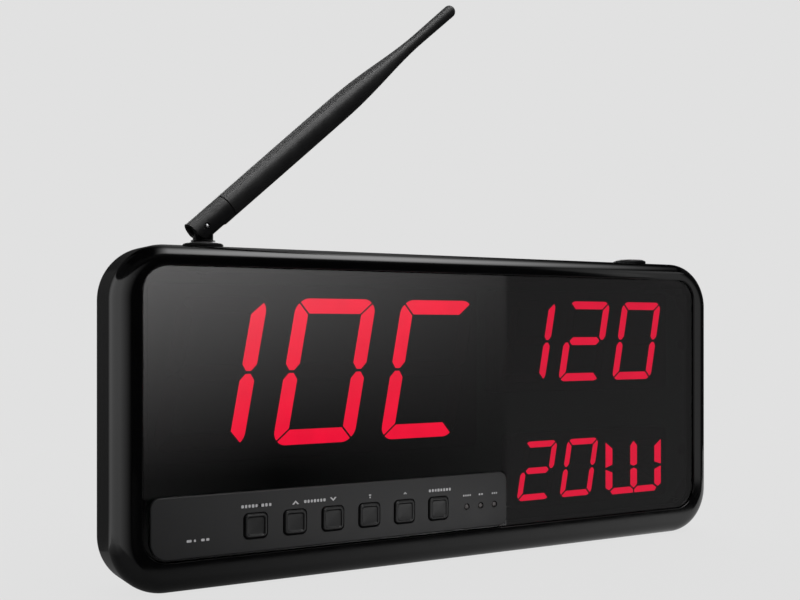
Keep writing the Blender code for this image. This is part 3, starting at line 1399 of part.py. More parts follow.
# ---------------------------------------------------------------- leads
def leads(look_black, look_red):
    radio_x, radio_z = on_main_board(*RADIO[0])
    radio_left = radio_x - RADIO[1][0] / 2
    radio_depth = MAIN_BOARD_FRONT - SEAT_GAP - RADIO_HEIGHT / 2
    shaft_end = neck_profile()[0][1] - SEAT_GAP
    lead_radius = 0.9 * MM
    y = FRONT_Y
    lead(
        "aerial_lead",
        [
            (AERIAL_X, AERIAL_Y, shaft_end),
            (AERIAL_X, AERIAL_Y, shaft_end - 7 * MM),
            (AERIAL_X + 3 * MM, AERIAL_Y + 2 * MM, shaft_end - 17 * MM),
            (AERIAL_X + 12 * MM, AERIAL_Y + 6 * MM, radio_z + 4 * MM),
            (radio_left - 5 * MM, y + radio_depth, radio_z),
            (radio_left - SEAT_GAP, y + radio_depth, radio_z),
        ],
        lead_radius,
        look_black,
        3,
    )
    board_left = MAIN_BOARD_CENTRE[0] - MAIN_BOARD_SIZE[0] / 2
    board_right = MAIN_BOARD_CENTRE[0] + MAIN_BOARD_SIZE[0] / 2
    board_depth = MAIN_BOARD_FRONT - SEAT_GAP - lead_radius
    speaker_x, speaker_z = SPEAKER_CENTRE
    frame_depth = COVER_INSIDE - SPEAKER_DEPTH * 0.6
    frame_side = speaker_x - SPEAKER_RADIUS * 0.76
    lead(
        "speaker_lead",
        [
            (frame_side, y + frame_depth, speaker_z),
            (frame_side - 6 * MM, y + frame_depth - 1 * MM, speaker_z - 1 * MM),
            ((speaker_x + board_right) / 2, y + board_depth + 1 * MM, speaker_z - 8 * MM),
            (board_right + 6 * MM, y + board_depth, speaker_z - 12 * MM),
            (board_right - 4 * MM, y + board_depth, speaker_z - 12 * MM),
        ],
        lead_radius,
        look_red,
        3,
    )
    inlet_x, inlet_z = INLET_CENTRE
    inlet_front = PANEL_DEPTH - INLET_NUT_THICK - COVER_WALL - 4 * SEAT_GAP - INLET_BODY_DEPTH
    lead(
        "power_lead",
        [
            (inlet_x, y + inlet_front, inlet_z),
            (inlet_x + 1 * MM, y + inlet_front - 4 * MM, inlet_z + 2 * MM),
            (inlet_x + 12 * MM, y + inlet_front - 3 * MM, inlet_z + 13 * MM),
            (board_left - 8 * MM, y + board_depth - 1 * MM, inlet_z + 20 * MM),
            (board_left + 5 * MM, y + board_depth, inlet_z + 21 * MM),
        ],
        lead_radius,
        look_red,
        3,
    )


# ---------------------------------------------------------------- the whole panel
def build():
    clear_scene()
    looks = {
        "gloss": material("gloss black case", (0.010, 0.010, 0.011), 0.12),
        "cover": material("matt black cover", (0.018, 0.018, 0.019), 0.55),
        "satin": material("satin black fittings", (0.014, 0.014, 0.015), 0.42),
        "rubber": material("aerial rubber", (0.016, 0.016, 0.017), 0.62),
        "window": material("smoked window", (0.012, 0.011, 0.012), 0.05),
        "plate": material("control plate", (0.030, 0.030, 0.032), 0.48),
        "key": material("push keys", (0.008, 0.008, 0.009), 0.40),
        "lens": material("indicator lens", (0.10, 0.02, 0.02), 0.15),
        "reflector": material("reflector block", (0.010, 0.010, 0.010), 0.80),
        "segments": material("segment resin", (0.60, 0.03, 0.06), 0.40),
        "board": material("circuit board", (0.010, 0.070, 0.030), 0.45),
        "chip": material("chip package", (0.020, 0.020, 0.022), 0.60),
        "can": material("capacitor sleeve", (0.020, 0.022, 0.060), 0.35),
        "steel": material("plated steel", (0.62, 0.62, 0.63), 0.28, 1.0),
        "magnet": material("ferrite magnet", (0.045, 0.045, 0.048), 0.70),
        "cone": material("paper cone", (0.030, 0.028, 0.026), 0.90),
        "black": material("black moulding", (0.020, 0.020, 0.020), 0.50),
        "ribbon": material("ribbon cable", (0.45, 0.45, 0.44), 0.55),
        "red wire": material("red wire", (0.45, 0.02, 0.02), 0.45),
    }
    front_housing(looks["gloss"])
    rear_cover(looks["cover"])
    display_window(looks["window"])
    control_plate(looks["plate"])
    for index, x in enumerate(KEY_XS, 1):
        push_key(index, x, looks["key"])
        key_switch(index, x, looks["chip"])
    for index, x in enumerate(INDICATOR_XS, 1):
        indicator(index, x, looks["lens"])
    readouts(looks["reflector"], looks["segments"])
    display_board(looks["board"])
    main_board(looks["board"])
    parts_on_boards(looks)
    ribbon_link(looks["ribbon"])
    speaker(looks)
    power_inlet(looks)
    power_switch(looks)
    aerial(looks)
    blanking_plug(looks["satin"])
    leads(looks["black"], looks["red wire"])
    seat = WELL_SEAT + WELL_FLOOR + SEAT_GAP
    for index, centre in enumerate(case_screw_places(), 1):
        screw(f"case_screw_{index}", centre, CASE_SCREW, seat, CASE_SCREW_LENGTH, looks["steel"])
    seat = DISPLAY_BOARD_BACK + SEAT_GAP
    for index, centre in enumerate(board_post_places(), 1):
        screw(f"board_screw_{index}", centre, BOARD_SCREW, seat, BOARD_SCREW_LENGTH, looks["steel"])


build()
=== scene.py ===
from math import asin, cos, degrees, hypot, pi, radians, sin, sqrt, tan

import bmesh
import bpy
from mathutils import Matrix, Vector

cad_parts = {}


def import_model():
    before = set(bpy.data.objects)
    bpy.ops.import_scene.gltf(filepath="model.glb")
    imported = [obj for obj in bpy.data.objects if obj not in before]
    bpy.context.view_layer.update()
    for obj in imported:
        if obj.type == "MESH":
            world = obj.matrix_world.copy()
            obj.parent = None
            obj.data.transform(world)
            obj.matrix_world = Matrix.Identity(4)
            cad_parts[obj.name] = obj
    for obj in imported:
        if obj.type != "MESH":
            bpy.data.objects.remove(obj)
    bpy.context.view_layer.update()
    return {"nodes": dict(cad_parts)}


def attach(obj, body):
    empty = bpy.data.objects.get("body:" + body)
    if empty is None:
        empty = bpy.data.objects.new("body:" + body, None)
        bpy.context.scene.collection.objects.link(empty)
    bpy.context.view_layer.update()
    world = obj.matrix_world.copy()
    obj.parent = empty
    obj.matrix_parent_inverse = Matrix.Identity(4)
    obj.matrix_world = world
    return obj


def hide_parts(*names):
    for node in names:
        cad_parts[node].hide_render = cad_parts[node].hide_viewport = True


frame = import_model()

# ---- sizes in millimetres, as in the CAD model
MM = 0.001  # metres
GAP = 0.3
PAST = 1  # how far a cut runs past the face that it opens
WIDTH = 340
HEIGHT = 150
SHELL_DEPTH = 26
DEPTH = 36
CORNER = 24
EDGE = 8
WALL = 2.5
COVER_WALL = 2.0
COVER_LIP = 0.3
RIM_THICK = 1.7
RIM_INSET = 1.3
TRAY_INSET = 3.0
TRAY_WALL = 3.6
TRAY_TAPER = 2.5
TRAY_EDGE = 1.5
SIDE_MARGIN = 12.5
TOP_MARGIN = 9.0
BOTTOM_MARGIN = 14.0
OPENING_RADIUS = 11.5
OPENING_LIP = 0.5
WINDOW_RECESS = 1.0
WINDOW_THICK = 2.0
LEDGE_WIDTH = 2.5
LEDGE_THICK = 1.5
PLATE_WIDTH = 183
PLATE_HEIGHT = 26.8
PLATE_PROUD = 0.6
PLATE_RADII = (4.5, 4.5, 8.0, 4.5)  # the larger at the window's lower left corner
PLATE_EDGE = 0.5
KEY_SIZE = 11.0
KEY_RADIUS = 2.0
KEY_PROUD = 0.9
KEY_EDGE = 0.9
KEY_RIM = 1.3
KEY_DISH = 0.42
KEY_COLLAR_WIDTH = 0.9
KEY_COLLAR_THICK = 0.8
KEY_STEM = 5.0
KEY_PEG = 3.2
KEY_TRAVEL = 0.8
SWITCH_HEIGHT = 4.4
SWITCH_FLOOR = 1.2
INDICATOR_RADIUS = 1.25
INDICATOR_BASE = 1.9
INDICATOR_FLANGE = 1.0
INDICATOR_PROUD = 0.2
READOUT_DEPTH = 8.0
READOUT_RADIUS = 3
RESIN_THICK = 1.6
RESIN_WALL = 1.5
SEGMENT_SUNK = 0.15
SEGMENT_WALL = 0.5
SLANT = radians(10.5)
CASE_SCREW = {"head": 2.75, "head_thick": 1.8, "shank": 1.2, "length": 13.0}
BOARD_SCREW = {"head": 2.2, "head_thick": 1.4, "shank": 0.9, "length": 5.0}
CASE_SCREW_FROM_CORNER = 13.8
CASE_POST_RADIUS = 3.5
WELL_RADIUS = 3.1
WELL_WALL = 1.4
WELL_FLOOR = 2.4
WELL_PROUD = 1.0
BOARD_THICK = 1.6
BOARD_POST_INSET = 10.5
BOARD_POST_RISE = 30.0
BOARD_POST_RADIUS = 3.0
MAIN_BOARD_SIZE = (100, 76)
MAIN_BOARD_CENTRE = (-48, 79)
MAIN_BOARD_STANDOFF = 4.1
MAIN_BOARD_HOLE_INSET = 4.5
STANDOFF_RADIUS = 3.0
STAKE_RADIUS = 1.2
STAKE_HEAD = 2.2
STAKE_HEAD_THICK = 1.2
AERIAL_DEPTH = 17
FLANGE_RADIUS = 9.0
FLANGE_LIP = 1.4
FLANGE_CONE = 0.95
PLUG_CONE = 0.6
BARREL_RADIUS = 5.0
BARREL_LENGTH = 9.0
BARREL_BORE = 3.3
NECK_RADIUS = 5.5
NECK_DISC = 0.5
NECK_SLOPE = 1.1
TONGUE_WIDTH = 8.2
TONGUE_THICK = 4.4
CLIP_THICK = 0.6
GROOVE_RADIUS = 2.3
PIN_RADIUS = 1.1
SLEEVE_RADIUS = 5.9
SLEEVE_HEEL = 5.6
SLEEVE_LENGTH = 14.4
SLEEVE_FLAT = 5.0
FORK_DEPTH = 6.3
SPIGOT_RADIUS = 3.7
SPIGOT_LENGTH = 4.5
WHIP_LENGTH = 176.9
WHIP_RADIUS = 5.9
WHIP_BELLY = 6.1
WHIP_BELLY_AT = 88.5
WHIP_NARROW = 2.9
WHIP_NARROW_AT = 148.7
WHIP_FALL = 1.12  # over 1, the taper falls late
WHIP_TIP = 3.1
LEAN = radians(48.6)
PLUG_TOP_RADIUS = 7.2
PLUG_BEAD = BARREL_RADIUS + 0.9
SPEAKER_CENTRE = (95, 75)
SPEAKER_RADIUS = 20.5
SPEAKER_RIM = 2.0
GRILLE = {"slot": 2.2, "pitch": 4.6, "radius": 17.5, "count": 7}
VENT_SLOT = (2.0, 20.0)
VENT_PITCH = 6.0
VENT_COUNT = 7
VENT_CENTRES = ((-48, 122), (48, 122))
KEYHOLE_FROM_MIDDLE = 120
KEYHOLE_HEIGHT = 108
KEYHOLE_HEAD = 4.5
KEYHOLE_SLOT = 2.3
KEYHOLE_RISE = 9.0
INLET_CENTRE = (-132, 34)
INLET_NECK = 4.0
INLET_BODY = 5.5
INLET_BODY_DEPTH = 9.0
INLET_SOCKET = 2.8
INLET_PIN = 1.0
INLET_NUT_FLATS = 10.0
INLET_NUT_THICK = 1.8
INLET_POCKET = 6.2
SLIDE_CENTRE = (-102, 26)
SLIDE_BODY_DEPTH = 6.0
SLIDE_BASE = (6.0, 4.4, 1.6)
SLIDE_KNOB = (4.6, 3.0)
SLIDE_THROW = 3.6

KEY_FACE = -(PLATE_PROUD + KEY_PROUD)
FRONT_Y = -(DEPTH + KEY_FACE) / 2
OPENING_WIDTH = WIDTH - 2 * SIDE_MARGIN
OPENING_HEIGHT = HEIGHT - TOP_MARGIN - BOTTOM_MARGIN
OPENING_MIDDLE = BOTTOM_MARGIN + OPENING_HEIGHT / 2
WINDOW_BACK = WINDOW_RECESS + WINDOW_THICK
LEDGE_FRONT = WINDOW_BACK + GAP
LEDGE_BACK = LEDGE_FRONT + LEDGE_THICK
PLATE_LEFT = -OPENING_WIDTH / 2 + 3.0
PLATE_FOOT = BOTTOM_MARGIN + 1.2
PLATE_CENTRE = (PLATE_LEFT + PLATE_WIDTH / 2, PLATE_FOOT + PLATE_HEIGHT / 2)
PLATE_BACK = WINDOW_RECESS - GAP
KEY_HEIGHT = PLATE_FOOT + 11.5
KEY_XS = [PLATE_LEFT + 47.5 + 19.0 * n for n in range(6)]
INDICATOR_HEIGHT = KEY_HEIGHT - 0.6
INDICATOR_XS = [PLATE_LEFT + PLATE_WIDTH - 7.5 - 8.2 * n for n in (2, 1, 0)]
READOUT_FRONT = WINDOW_BACK + 0.6
READOUT_BACK = READOUT_FRONT + READOUT_DEPTH
RESIN_FRONT = READOUT_BACK - RESIN_THICK
BOARD_FRONT = READOUT_BACK + GAP
BOARD_BACK = BOARD_FRONT + BOARD_THICK
SWITCH_BACK = BOARD_FRONT - GAP
SWITCH_FRONT = SWITCH_BACK - SWITCH_HEIGHT
COVER_FRONT = SHELL_DEPTH - RIM_THICK
COVER_INSIDE = DEPTH - COVER_WALL
MAIN_BOARD_BACK = COVER_INSIDE - MAIN_BOARD_STANDOFF
MAIN_BOARD_FRONT = MAIN_BOARD_BACK - BOARD_THICK
WELL_SEAT = COVER_FRONT - WELL_PROUD
INLET_FLOOR = DEPTH - INLET_NUT_THICK - 2 * GAP
AERIAL_X = -WIDTH / 2 + 45
AERIAL_Y = FRONT_Y + AERIAL_DEPTH
FLANGE_FOOT = HEIGHT + GAP
FLANGE_TOP = FLANGE_FOOT + FLANGE_LIP + FLANGE_CONE
NECK_FOOT = FLANGE_TOP + GAP
NECK_TOP = NECK_FOOT + NECK_DISC
PIVOT_HEIGHT = NECK_TOP + GAP + SLEEVE_HEEL
BARREL_END = HEIGHT - BARREL_LENGTH


# ---- outlines
def spaced(first, last, steps):
    """Evenly spaced values, with both ends."""
    return [first + (last - first) * n / steps for n in range(steps + 1)]


def centred(count, pitch):
    """Places in a row, even about its middle."""
    return [pitch * (n - (count - 1) / 2) for n in range(count)]


def arc(centre, radius, start, end, steps):
    angles = [radians(angle) for angle in spaced(start, end, steps)]
    return [(centre[0] + radius * cos(a), centre[1] + radius * sin(a)) for a in angles]


def quarter_turn(steps):
    """The sine and cosine of each step from 0 to 90 degrees."""
    return [(sin(angle), cos(angle)) for angle in spaced(0, pi / 2, steps)]


def cornered(width, height, radii, centre, steps, grow=0):
    """A rectangle with a radius for each corner, from the upper right one round by the left."""
    points = []
    for n, (side, rise) in enumerate(((1, 1), (-1, 1), (-1, -1), (1, -1))):
        across, up = width / 2 - radii[n], height / 2 - radii[n]
        middle = (centre[0] + side * across, centre[1] + rise * up)
        points += arc(middle, radii[n] + grow, 90 * n, 90 * n + 90, steps)
    return points


def rounded(width, height, radius, centre, steps, grow=0):
    return cornered(width, height, [radius] * 4, centre, steps, grow)


def stadium(width, height, centre, steps=10):
    radius = min(width, height) / 2
    reach = max(width, height) / 2 - radius
    x, z = centre
    if width > height:
        return arc((x - reach, z), radius, 90, 270, steps) + arc((x + reach, z), radius, -90, 90, steps)
    return arc((x, z + reach), radius, 0, 180, steps) + arc((x, z - reach), radius, 180, 360, steps)


def circle(centre, radius, steps):
    return arc(centre, radius, 0, 360 - 360 / steps, steps - 1)


def box_outline(centre, across, up):
    x, z = centre
    return [(x + across, z + up), (x - across, z + up), (x - across, z - up), (x + across, z - up)]


def mirrored(outline, across, up):
    points = [(x * across, z * up) for x, z in outline]
    return points if across * up > 0 else points[::-1]


def at_depth(outline, depth):
    return [(x, FRONT_Y + depth, z) for x, z in outline]


def case_ring(inset, depth):
    return at_depth(rounded(WIDTH, HEIGHT, CORNER, (0, HEIGHT / 2), 24, -inset), depth)


def opening_ring(grow, depth):
    middle = (0, OPENING_MIDDLE)
    return at_depth(rounded(OPENING_WIDTH, OPENING_HEIGHT, OPENING_RADIUS, middle, 24, grow), depth)


def soft_edge(edge, depth):
    """The insets and depths of three rings that round an edge."""
    return [(edge, depth), (edge * 0.3, depth + edge * 0.3), (0, depth + edge)]


# ---- solids
def metres(point):
    return [value * MM for value in point]


def loft(bm, rings, closed=False):
    loops = [[bm.verts.new(metres(point)) for point in ring] for ring in rings]
    pairs = list(zip(loops, loops[1:]))
    if closed:
        pairs.append((loops[-1], loops[0]))
    faces = []
    for near, far in pairs:
        for n, vert in enumerate(near):
            after = (n + 1) % len(near)
            faces.append(bm.faces.new((vert, near[after], far[after], far[n])))
    if not closed:
        faces += [bm.faces.new(loops[0]), bm.faces.new(loops[-1])]
    return faces


def prism(bm, outline, near, far):
    loft(bm, [at_depth(outline, near), at_depth(outline, far)])


def turned(bm, profile, place, steps, closed=False):
    """Turns a profile of (radius, distance) into a solid; place(a, b, distance) puts its points in space."""
    loft(bm, [[place(a, b, d) for a, b in circle((0, 0), r, steps)] for r, d in profile], closed)


def upright(x, y):
    return lambda a, b, height: (x + a, y + b, height)


def backward(centre):
    return lambda a, b, depth: (centre[0] + a, FRONT_Y + depth, centre[1] + b)


def rod(bm, centre, radius, near, far, steps):
    turned(bm, [(radius, near), (radius, far)], backward(centre), steps)


SMOOTH = 32  # degrees: a sharper bend than this stays a crease


def shaded(mesh, smooth):
    if smooth:
        mesh.shade_smooth()
        mesh.set_sharp_from_angle(angle=radians(smooth))
    return mesh


def piece(name, bm, slots, smooth=SMOOTH):
    bmesh.ops.recalc_face_normals(bm, faces=bm.faces)
    mesh = bpy.data.meshes.new(name)
    bm.to_mesh(mesh)
    bm.free()
    for slot in slots:
        mesh.materials.append(LOOKS[slot])
    made = bpy.data.objects.new(name, shaded(mesh, smooth))
    bpy.context.scene.collection.objects.link(made)
    return made


def lofted(name, rings, slot, closed=False, smooth=SMOOTH):
    bm = bmesh.new()
    loft(bm, rings, closed)
    return piece(name, bm, [slot], smooth)


def spun(name, profile, place, slot, steps, closed=False, smooth=SMOOTH):
    bm = bmesh.new()
    turned(bm, profile, place, steps, closed)
    return piece(name, bm, [slot], smooth)


def baked(made):
    """Applies the modifiers of a new piece."""
    graph = bpy.context.evaluated_depsgraph_get()
    mesh = bpy.data.meshes.new_from_object(made.evaluated_get(graph))
    made.modifiers.clear()
    made.data = shaded(mesh, SMOOTH)


def shaped(made, bm, operation="DIFFERENCE"):
    """Cuts a piece with the solids in bm, or joins them to it."""
    tool = piece(made.name + "_tool", bm, (), 0)
    modifier = made.modifiers.new(operation, "BOOLEAN")
    modifier.operation = operation
    modifier.solver = "EXACT"
    modifier.object = tool
    baked(made)
    bpy.data.objects.remove(tool)


def softened(made, width, steps, angle):
    modifier = made.modifiers.new("soft edges", "BEVEL")
    modifier.width = width * MM
    modifier.segments = steps
    modifier.limit_method = "ANGLE"
    modifier.angle_limit = radians(angle)
    modifier.harden_normals = False
    baked(made)


def seat(made, body, slot, *nodes):
    """Rides a piece on its body, evens its normals, and lets it stand for its CAD nodes."""
    even = made.modifiers.new("even normals", "WEIGHTED_NORMAL")
    even.mode = "FACE_AREA"
    even.weight = 100
    even.keep_sharp = True
    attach(made, body)
    if nodes:
        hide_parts(*nodes)


# ---- materials
def nodes_of(look):
    look.use_nodes = True
    tree = look.node_tree
    return tree, tree.nodes["Principled BSDF"]


def put(node, **values):
    for name, value in values.items():
        if name in node.inputs:
            node.inputs[name].default_value = value
        else:
            setattr(node, name, value)
    return node


def add(tree, kind, **values):
    return put(tree.nodes.new("ShaderNode" + kind), **values)


def noise(tree, scale, detail=3.0, roughness=0.5, stretch=None):
    """Noise in the object's own coordinates, in features per metre."""
    link = add(tree, "TexCoord").outputs["Object"]
    if stretch:
        mapping = add(tree, "Mapping", Scale=stretch)
        tree.links.new(link, mapping.inputs["Vector"])
        link = mapping.outputs["Vector"]
    made = add(tree, "TexNoise", Scale=scale, Detail=detail, Roughness=roughness)
    tree.links.new(link, made.inputs["Vector"])
    return made.outputs["Fac"]


def ranged(tree, value, low, high, start=0.3, end=0.7):
    ends = {"From Min": start, "From Max": end, "To Min": low, "To Max": high}
    made = add(tree, "MapRange", **ends)
    tree.links.new(value, made.inputs["Value"])
    return made.outputs["Result"]


def blended(tree, value, first, second):
    made = add(tree, "Mix", data_type="RGBA")
    for socket, colour in zip([s for s in made.inputs if s.type == "RGBA"], (first, second)):
        socket.default_value = (*colour, 1)
    tree.links.new(value, next(s for s in made.inputs if s.name == "Factor" and s.type == "VALUE"))
    return next(s for s in made.outputs if s.type == "RGBA")


LOOKS = {}  # by slot


def surface(slot, name, colour, roughness, bumps=(), spread=0.04, tone=0.12, tone_scale=60,
            metallic=0, ior=1.5, stretch=None):
    """A moulded, painted or metal surface: colour and gloss vary a little; bumps are (scale, depth)."""
    LOOKS[slot] = bpy.data.materials.new(name)
    tree, shader = nodes_of(LOOKS[slot])
    put(shader, Metallic=metallic, IOR=ior)
    shades = [[min(1, part * (1 + change)) for part in colour] for change in (-tone, tone)]
    patches = noise(tree, tone_scale, 4.0, 0.6, stretch)
    tree.links.new(blended(tree, ranged(tree, patches, 0, 1), *shades), shader.inputs["Base Color"])
    smears = noise(tree, tone_scale * 2.7, 5.0, 0.65, stretch)
    gloss = ranged(tree, smears, roughness - spread, roughness + spread)
    tree.links.new(gloss, shader.inputs["Roughness"])
    meets = shader.inputs["Normal"]
    for scale, depth in reversed(bumps):
        bump = add(tree, "Bump", Strength=1.0, Distance=depth)
        tree.links.new(noise(tree, scale, 2.0, 0.5, stretch), bump.inputs["Height"])
        tree.links.new(bump.outputs["Normal"], meets)
        meets = bump.inputs["Normal"]
    return tree, shader


CASE_BLACK = (0.0022, 0.0022, 0.0025)
CASE_GRAIN = ((90, 6e-6), (1400, 3e-7))
SPARK_GRAIN = ((2600, 3e-5), (700, 1e-5))
RUBBER_GRAIN = ((1500, 0.5e-6), (160, 6e-6))
surface("gloss_case", "gloss black case", CASE_BLACK, 0.11, CASE_GRAIN, 0.025, tone_scale=40, ior=1.54)
surface("cover", "spark eroded black cover", (0.026, 0.026, 0.027), 0.52, SPARK_GRAIN, 0.06, 0.2)
surface("satin", "satin black fittings", (0.0075, 0.0075, 0.0080), 0.36, ((2200, 2.5e-6),), 0.05, 0.2, 120)
surface("aerial_rubber", "aerial rubber", (0.0125, 0.0125, 0.0130), 0.42, RUBBER_GRAIN, 0.05, 0.18, 90)
surface("plate", "satin control plate", (0.0150, 0.0150, 0.0158), 0.40, ((5200, 4e-6),), 0.04, 0.07, 30)
surface("key", "satin push key", (0.0050, 0.0050, 0.0054), 0.33, ((4200, 3e-6),), 0.05, 0.2, 160)
surface("lens", "indicator lens", (0.085, 0.078, 0.078), 0.22, ((900, 2e-6),), tone=0.2, tone_scale=400)
surface("reflector", "reflector block", (0.0035, 0.0035, 0.0035), 0.85, ((900, 4e-6),), tone=0.2, ior=1.12)
surface("segments", "unlit segment resin", (0.014, 0.0025, 0.0035), 0.6, tone=0.1, tone_scale=300, ior=1.15)
surface("board", "solder mask", (0.004, 0.034, 0.017), 0.40, ((700, 2e-5),), tone=0.35, tone_scale=160)
surface("chip", "chip package", (0.016, 0.016, 0.018), 0.55, ((3500, 1e-5),), tone=0.2)
surface("can", "capacitor sleeve", (0.014, 0.016, 0.055), 0.30, tone=0.1, tone_scale=200)
surface("steel", "plated steel", (0.66, 0.66, 0.67), 0.27, ((1800, 4e-6),), 0.07, 0.08, 300, metallic=1.0)
surface("magnet", "ferrite magnet", (0.040, 0.040, 0.043), 0.68, ((1500, 2e-5),), tone=0.2)
surface("cone", "paper cone", (0.026, 0.024, 0.022), 0.88, ((2200, 5e-5),), tone=0.3, tone_scale=500)
surface("black_moulding", "black moulding", (0.014, 0.014, 0.014), 0.42, ((2600, 1e-5),), tone=0.15)
surface("ribbon", "ribbon cable", (0.40, 0.40, 0.39), 0.5, tone_scale=500, stretch=(8, 0.2, 0.2))
surface("red_wire", "red wire", (0.42, 0.018, 0.018), 0.42, tone=0.15, tone_scale=300)
surface("print", "printed marks", (0.50, 0.50, 0.51), 0.5, ((4000, 2e-6),), tone_scale=900)


def glowing(slot, name, colour, strength):
    """Lit resin: the light is a little uneven over each segment."""
    tree, shader = surface(slot, name, (0.10, 0.002, 0.006), 0.6, tone=0.1, tone_scale=300, ior=1.15)
    dimmer = [part * 0.90 for part in colour]
    glow = blended(tree, ranged(tree, noise(tree, 110, 2.0, 0.5), 0, 1), dimmer, colour)
    tree.links.new(glow, shader.inputs["Emission Color"])
    shader.inputs["Emission Strength"].default_value = strength


def show(tree, shader, output="Material Output"):
    tree.links.new(shader.outputs[0], tree.nodes[output].inputs["Surface"])


def shader_mix(tree, factor, first, second):
    """Mixes two shaders by a share or by what a socket gives."""
    mixed = add(tree, "MixShader")
    if isinstance(factor, float):
        mixed.inputs[0].default_value = factor
    else:
        tree.links.new(factor, mixed.inputs[0])
    tree.links.new(first.outputs[0], mixed.inputs[1])
    tree.links.new(second.outputs[0], mixed.inputs[2])
    return mixed


SEE_THROUGH = 0.48  # of one face of the window


def smoked():
    """Smoked acrylic: part of the light passes each face, and the rest meets a dark gloss."""
    dark = (0.0035, 0.0032, 0.0035)
    tree, shader = surface("window", "smoked window", dark, 0.035, ((35, 4e-6),), 0.012, 0.1, 25)
    clear = add(tree, "BsdfTransparent", Color=(1.0, 0.97, 0.98, 1.0))
    show(tree, shader_mix(tree, SEE_THROUGH, shader, clear))


glowing("lit_large", "lit large segments", (1.0, 0.0005, 0.040), 3.75)
glowing("lit_small", "lit small segments", (1.0, 0.0010, 0.050), 3.1)
smoked()


# ---- screw places
def four_places(across, up, centre=(0, HEIGHT / 2)):
    return [(centre[0] + side * across, centre[1] + rise * up) for side in (-1, 1) for rise in (-1, 1)]


FROM_CORNER = CORNER - CASE_SCREW_FROM_CORNER / sqrt(2)
CASE_SCREW_PLACES = four_places(WIDTH / 2 - FROM_CORNER, HEIGHT / 2 - FROM_CORNER)
BOARD_POST_PLACES = four_places(WIDTH / 2 - BOARD_POST_INSET, BOARD_POST_RISE)
MAIN_BOARD_REACH = [size / 2 - MAIN_BOARD_HOLE_INSET for size in MAIN_BOARD_SIZE]
MAIN_BOARD_PLACES = four_places(*MAIN_BOARD_REACH, MAIN_BOARD_CENTRE)


# ---- front housing
def between(outside, inside, share):
    """A ring of the front face between the rounded edge and the opening."""
    return [tuple(a + (b - a) * share for a, b in zip(p, q)) for p, q in zip(outside, inside)]


def front_housing():
    soft = 0.15
    rings = [case_ring(soft, SHELL_DEPTH), case_ring(0, SHELL_DEPTH - soft)]
    rings += [case_ring(EDGE * (1 - c), EDGE * (1 - s)) for s, c in quarter_turn(16)[:-1]]
    outside, inside = case_ring(EDGE, 0), opening_ring(OPENING_LIP, 0)
    rings += [between(outside, inside, share) for share in (0, 0.5, 1)]
    rings += [opening_ring(OPENING_LIP * (1 - s), OPENING_LIP * (1 - c)) for s, c in quarter_turn(5)[1:]]
    ledge = ((0, LEDGE_FRONT), (-LEDGE_WIDTH, LEDGE_FRONT), (-LEDGE_WIDTH, LEDGE_BACK))
    rings += [opening_ring(grow, depth) for grow, depth in ledge]
    inner = EDGE - WALL
    for share in spaced(1, 0, 5):
        rise = (EDGE - LEDGE_BACK) / inner * share
        rings.append(case_ring(EDGE - inner * sqrt(1 - rise**2), EDGE - inner * rise))
    rebate = COVER_FRONT - GAP
    rings += [case_ring(WALL, rebate), case_ring(RIM_INSET, rebate), case_ring(RIM_INSET, SHELL_DEPTH)]
    housing = lofted("housing_shell", rings, "gloss_case", closed=True)
    posts, holes = bmesh.new(), bmesh.new()
    kinds = [(CASE_SCREW_PLACES, CASE_POST_RADIUS, CASE_SCREW, WELL_SEAT - GAP)]
    kinds += [(BOARD_POST_PLACES, BOARD_POST_RADIUS, BOARD_SCREW, BOARD_FRONT - GAP)]
    for places, radius, size, end in kinds:
        for centre in places:
            rod(posts, centre, radius, LEDGE_BACK - 0.5, end, 28)
            rod(holes, centre, size["shank"] + GAP, end - size["length"], end + PAST, 20)
    shaped(housing, posts, "UNION")
    for x in (AERIAL_X, -AERIAL_X):
        span = [(BARREL_RADIUS + GAP, HEIGHT - WALL - PAST), (BARREL_RADIUS + GAP, HEIGHT + PAST)]
        turned(holes, span, upright(x, AERIAL_Y), 48)
    shaped(housing, holes)
    seat(housing, "case", "gloss_case", "front_housing")


# ---- rear cover
def opened(cuts, outline_at):
    """Cuts the cover's back, with a small chamfer outside; outline_at(grow) is the opening's outline."""
    rings = ((0, COVER_INSIDE - PAST), (0, DEPTH - COVER_LIP), (COVER_LIP, DEPTH), (COVER_LIP, DEPTH + PAST))
    loft(cuts, [at_depth(outline_at(grow), depth) for grow, depth in rings])


def slot_outline(width, height, centre):
    return lambda grow: stadium(width + 2 * grow, height + 2 * grow, centre)


def keyhole_outline(x):
    def outline(grow):
        head = KEYHOLE_HEAD + grow
        slot = KEYHOLE_SLOT + grow
        turn = degrees(asin(slot / head))
        bottom = arc((x, KEYHOLE_HEIGHT), head, 90 + turn, 450 - turn, 36)
        return bottom + arc((x, KEYHOLE_HEIGHT + KEYHOLE_RISE), slot, 0, 180, 16)

    return outline


def slide_outline(grow):
    size = [side + 2 * GAP for side in (SLIDE_KNOB[0] + SLIDE_THROW, SLIDE_KNOB[1])]
    return rounded(*size, 0.35, SLIDE_CENTRE, 4, grow)


def sunk_hole(cuts, centre, narrow, wide, near, floor, steps):
    """A stepped round hole from the back, with a small chamfer outside."""
    profile = [(narrow, near), (narrow, floor), (wide, floor), (wide, DEPTH - COVER_LIP)]
    profile += [(wide + COVER_LIP, DEPTH), (wide + COVER_LIP, DEPTH + PAST)]
    turned(cuts, profile, backward(centre), steps)


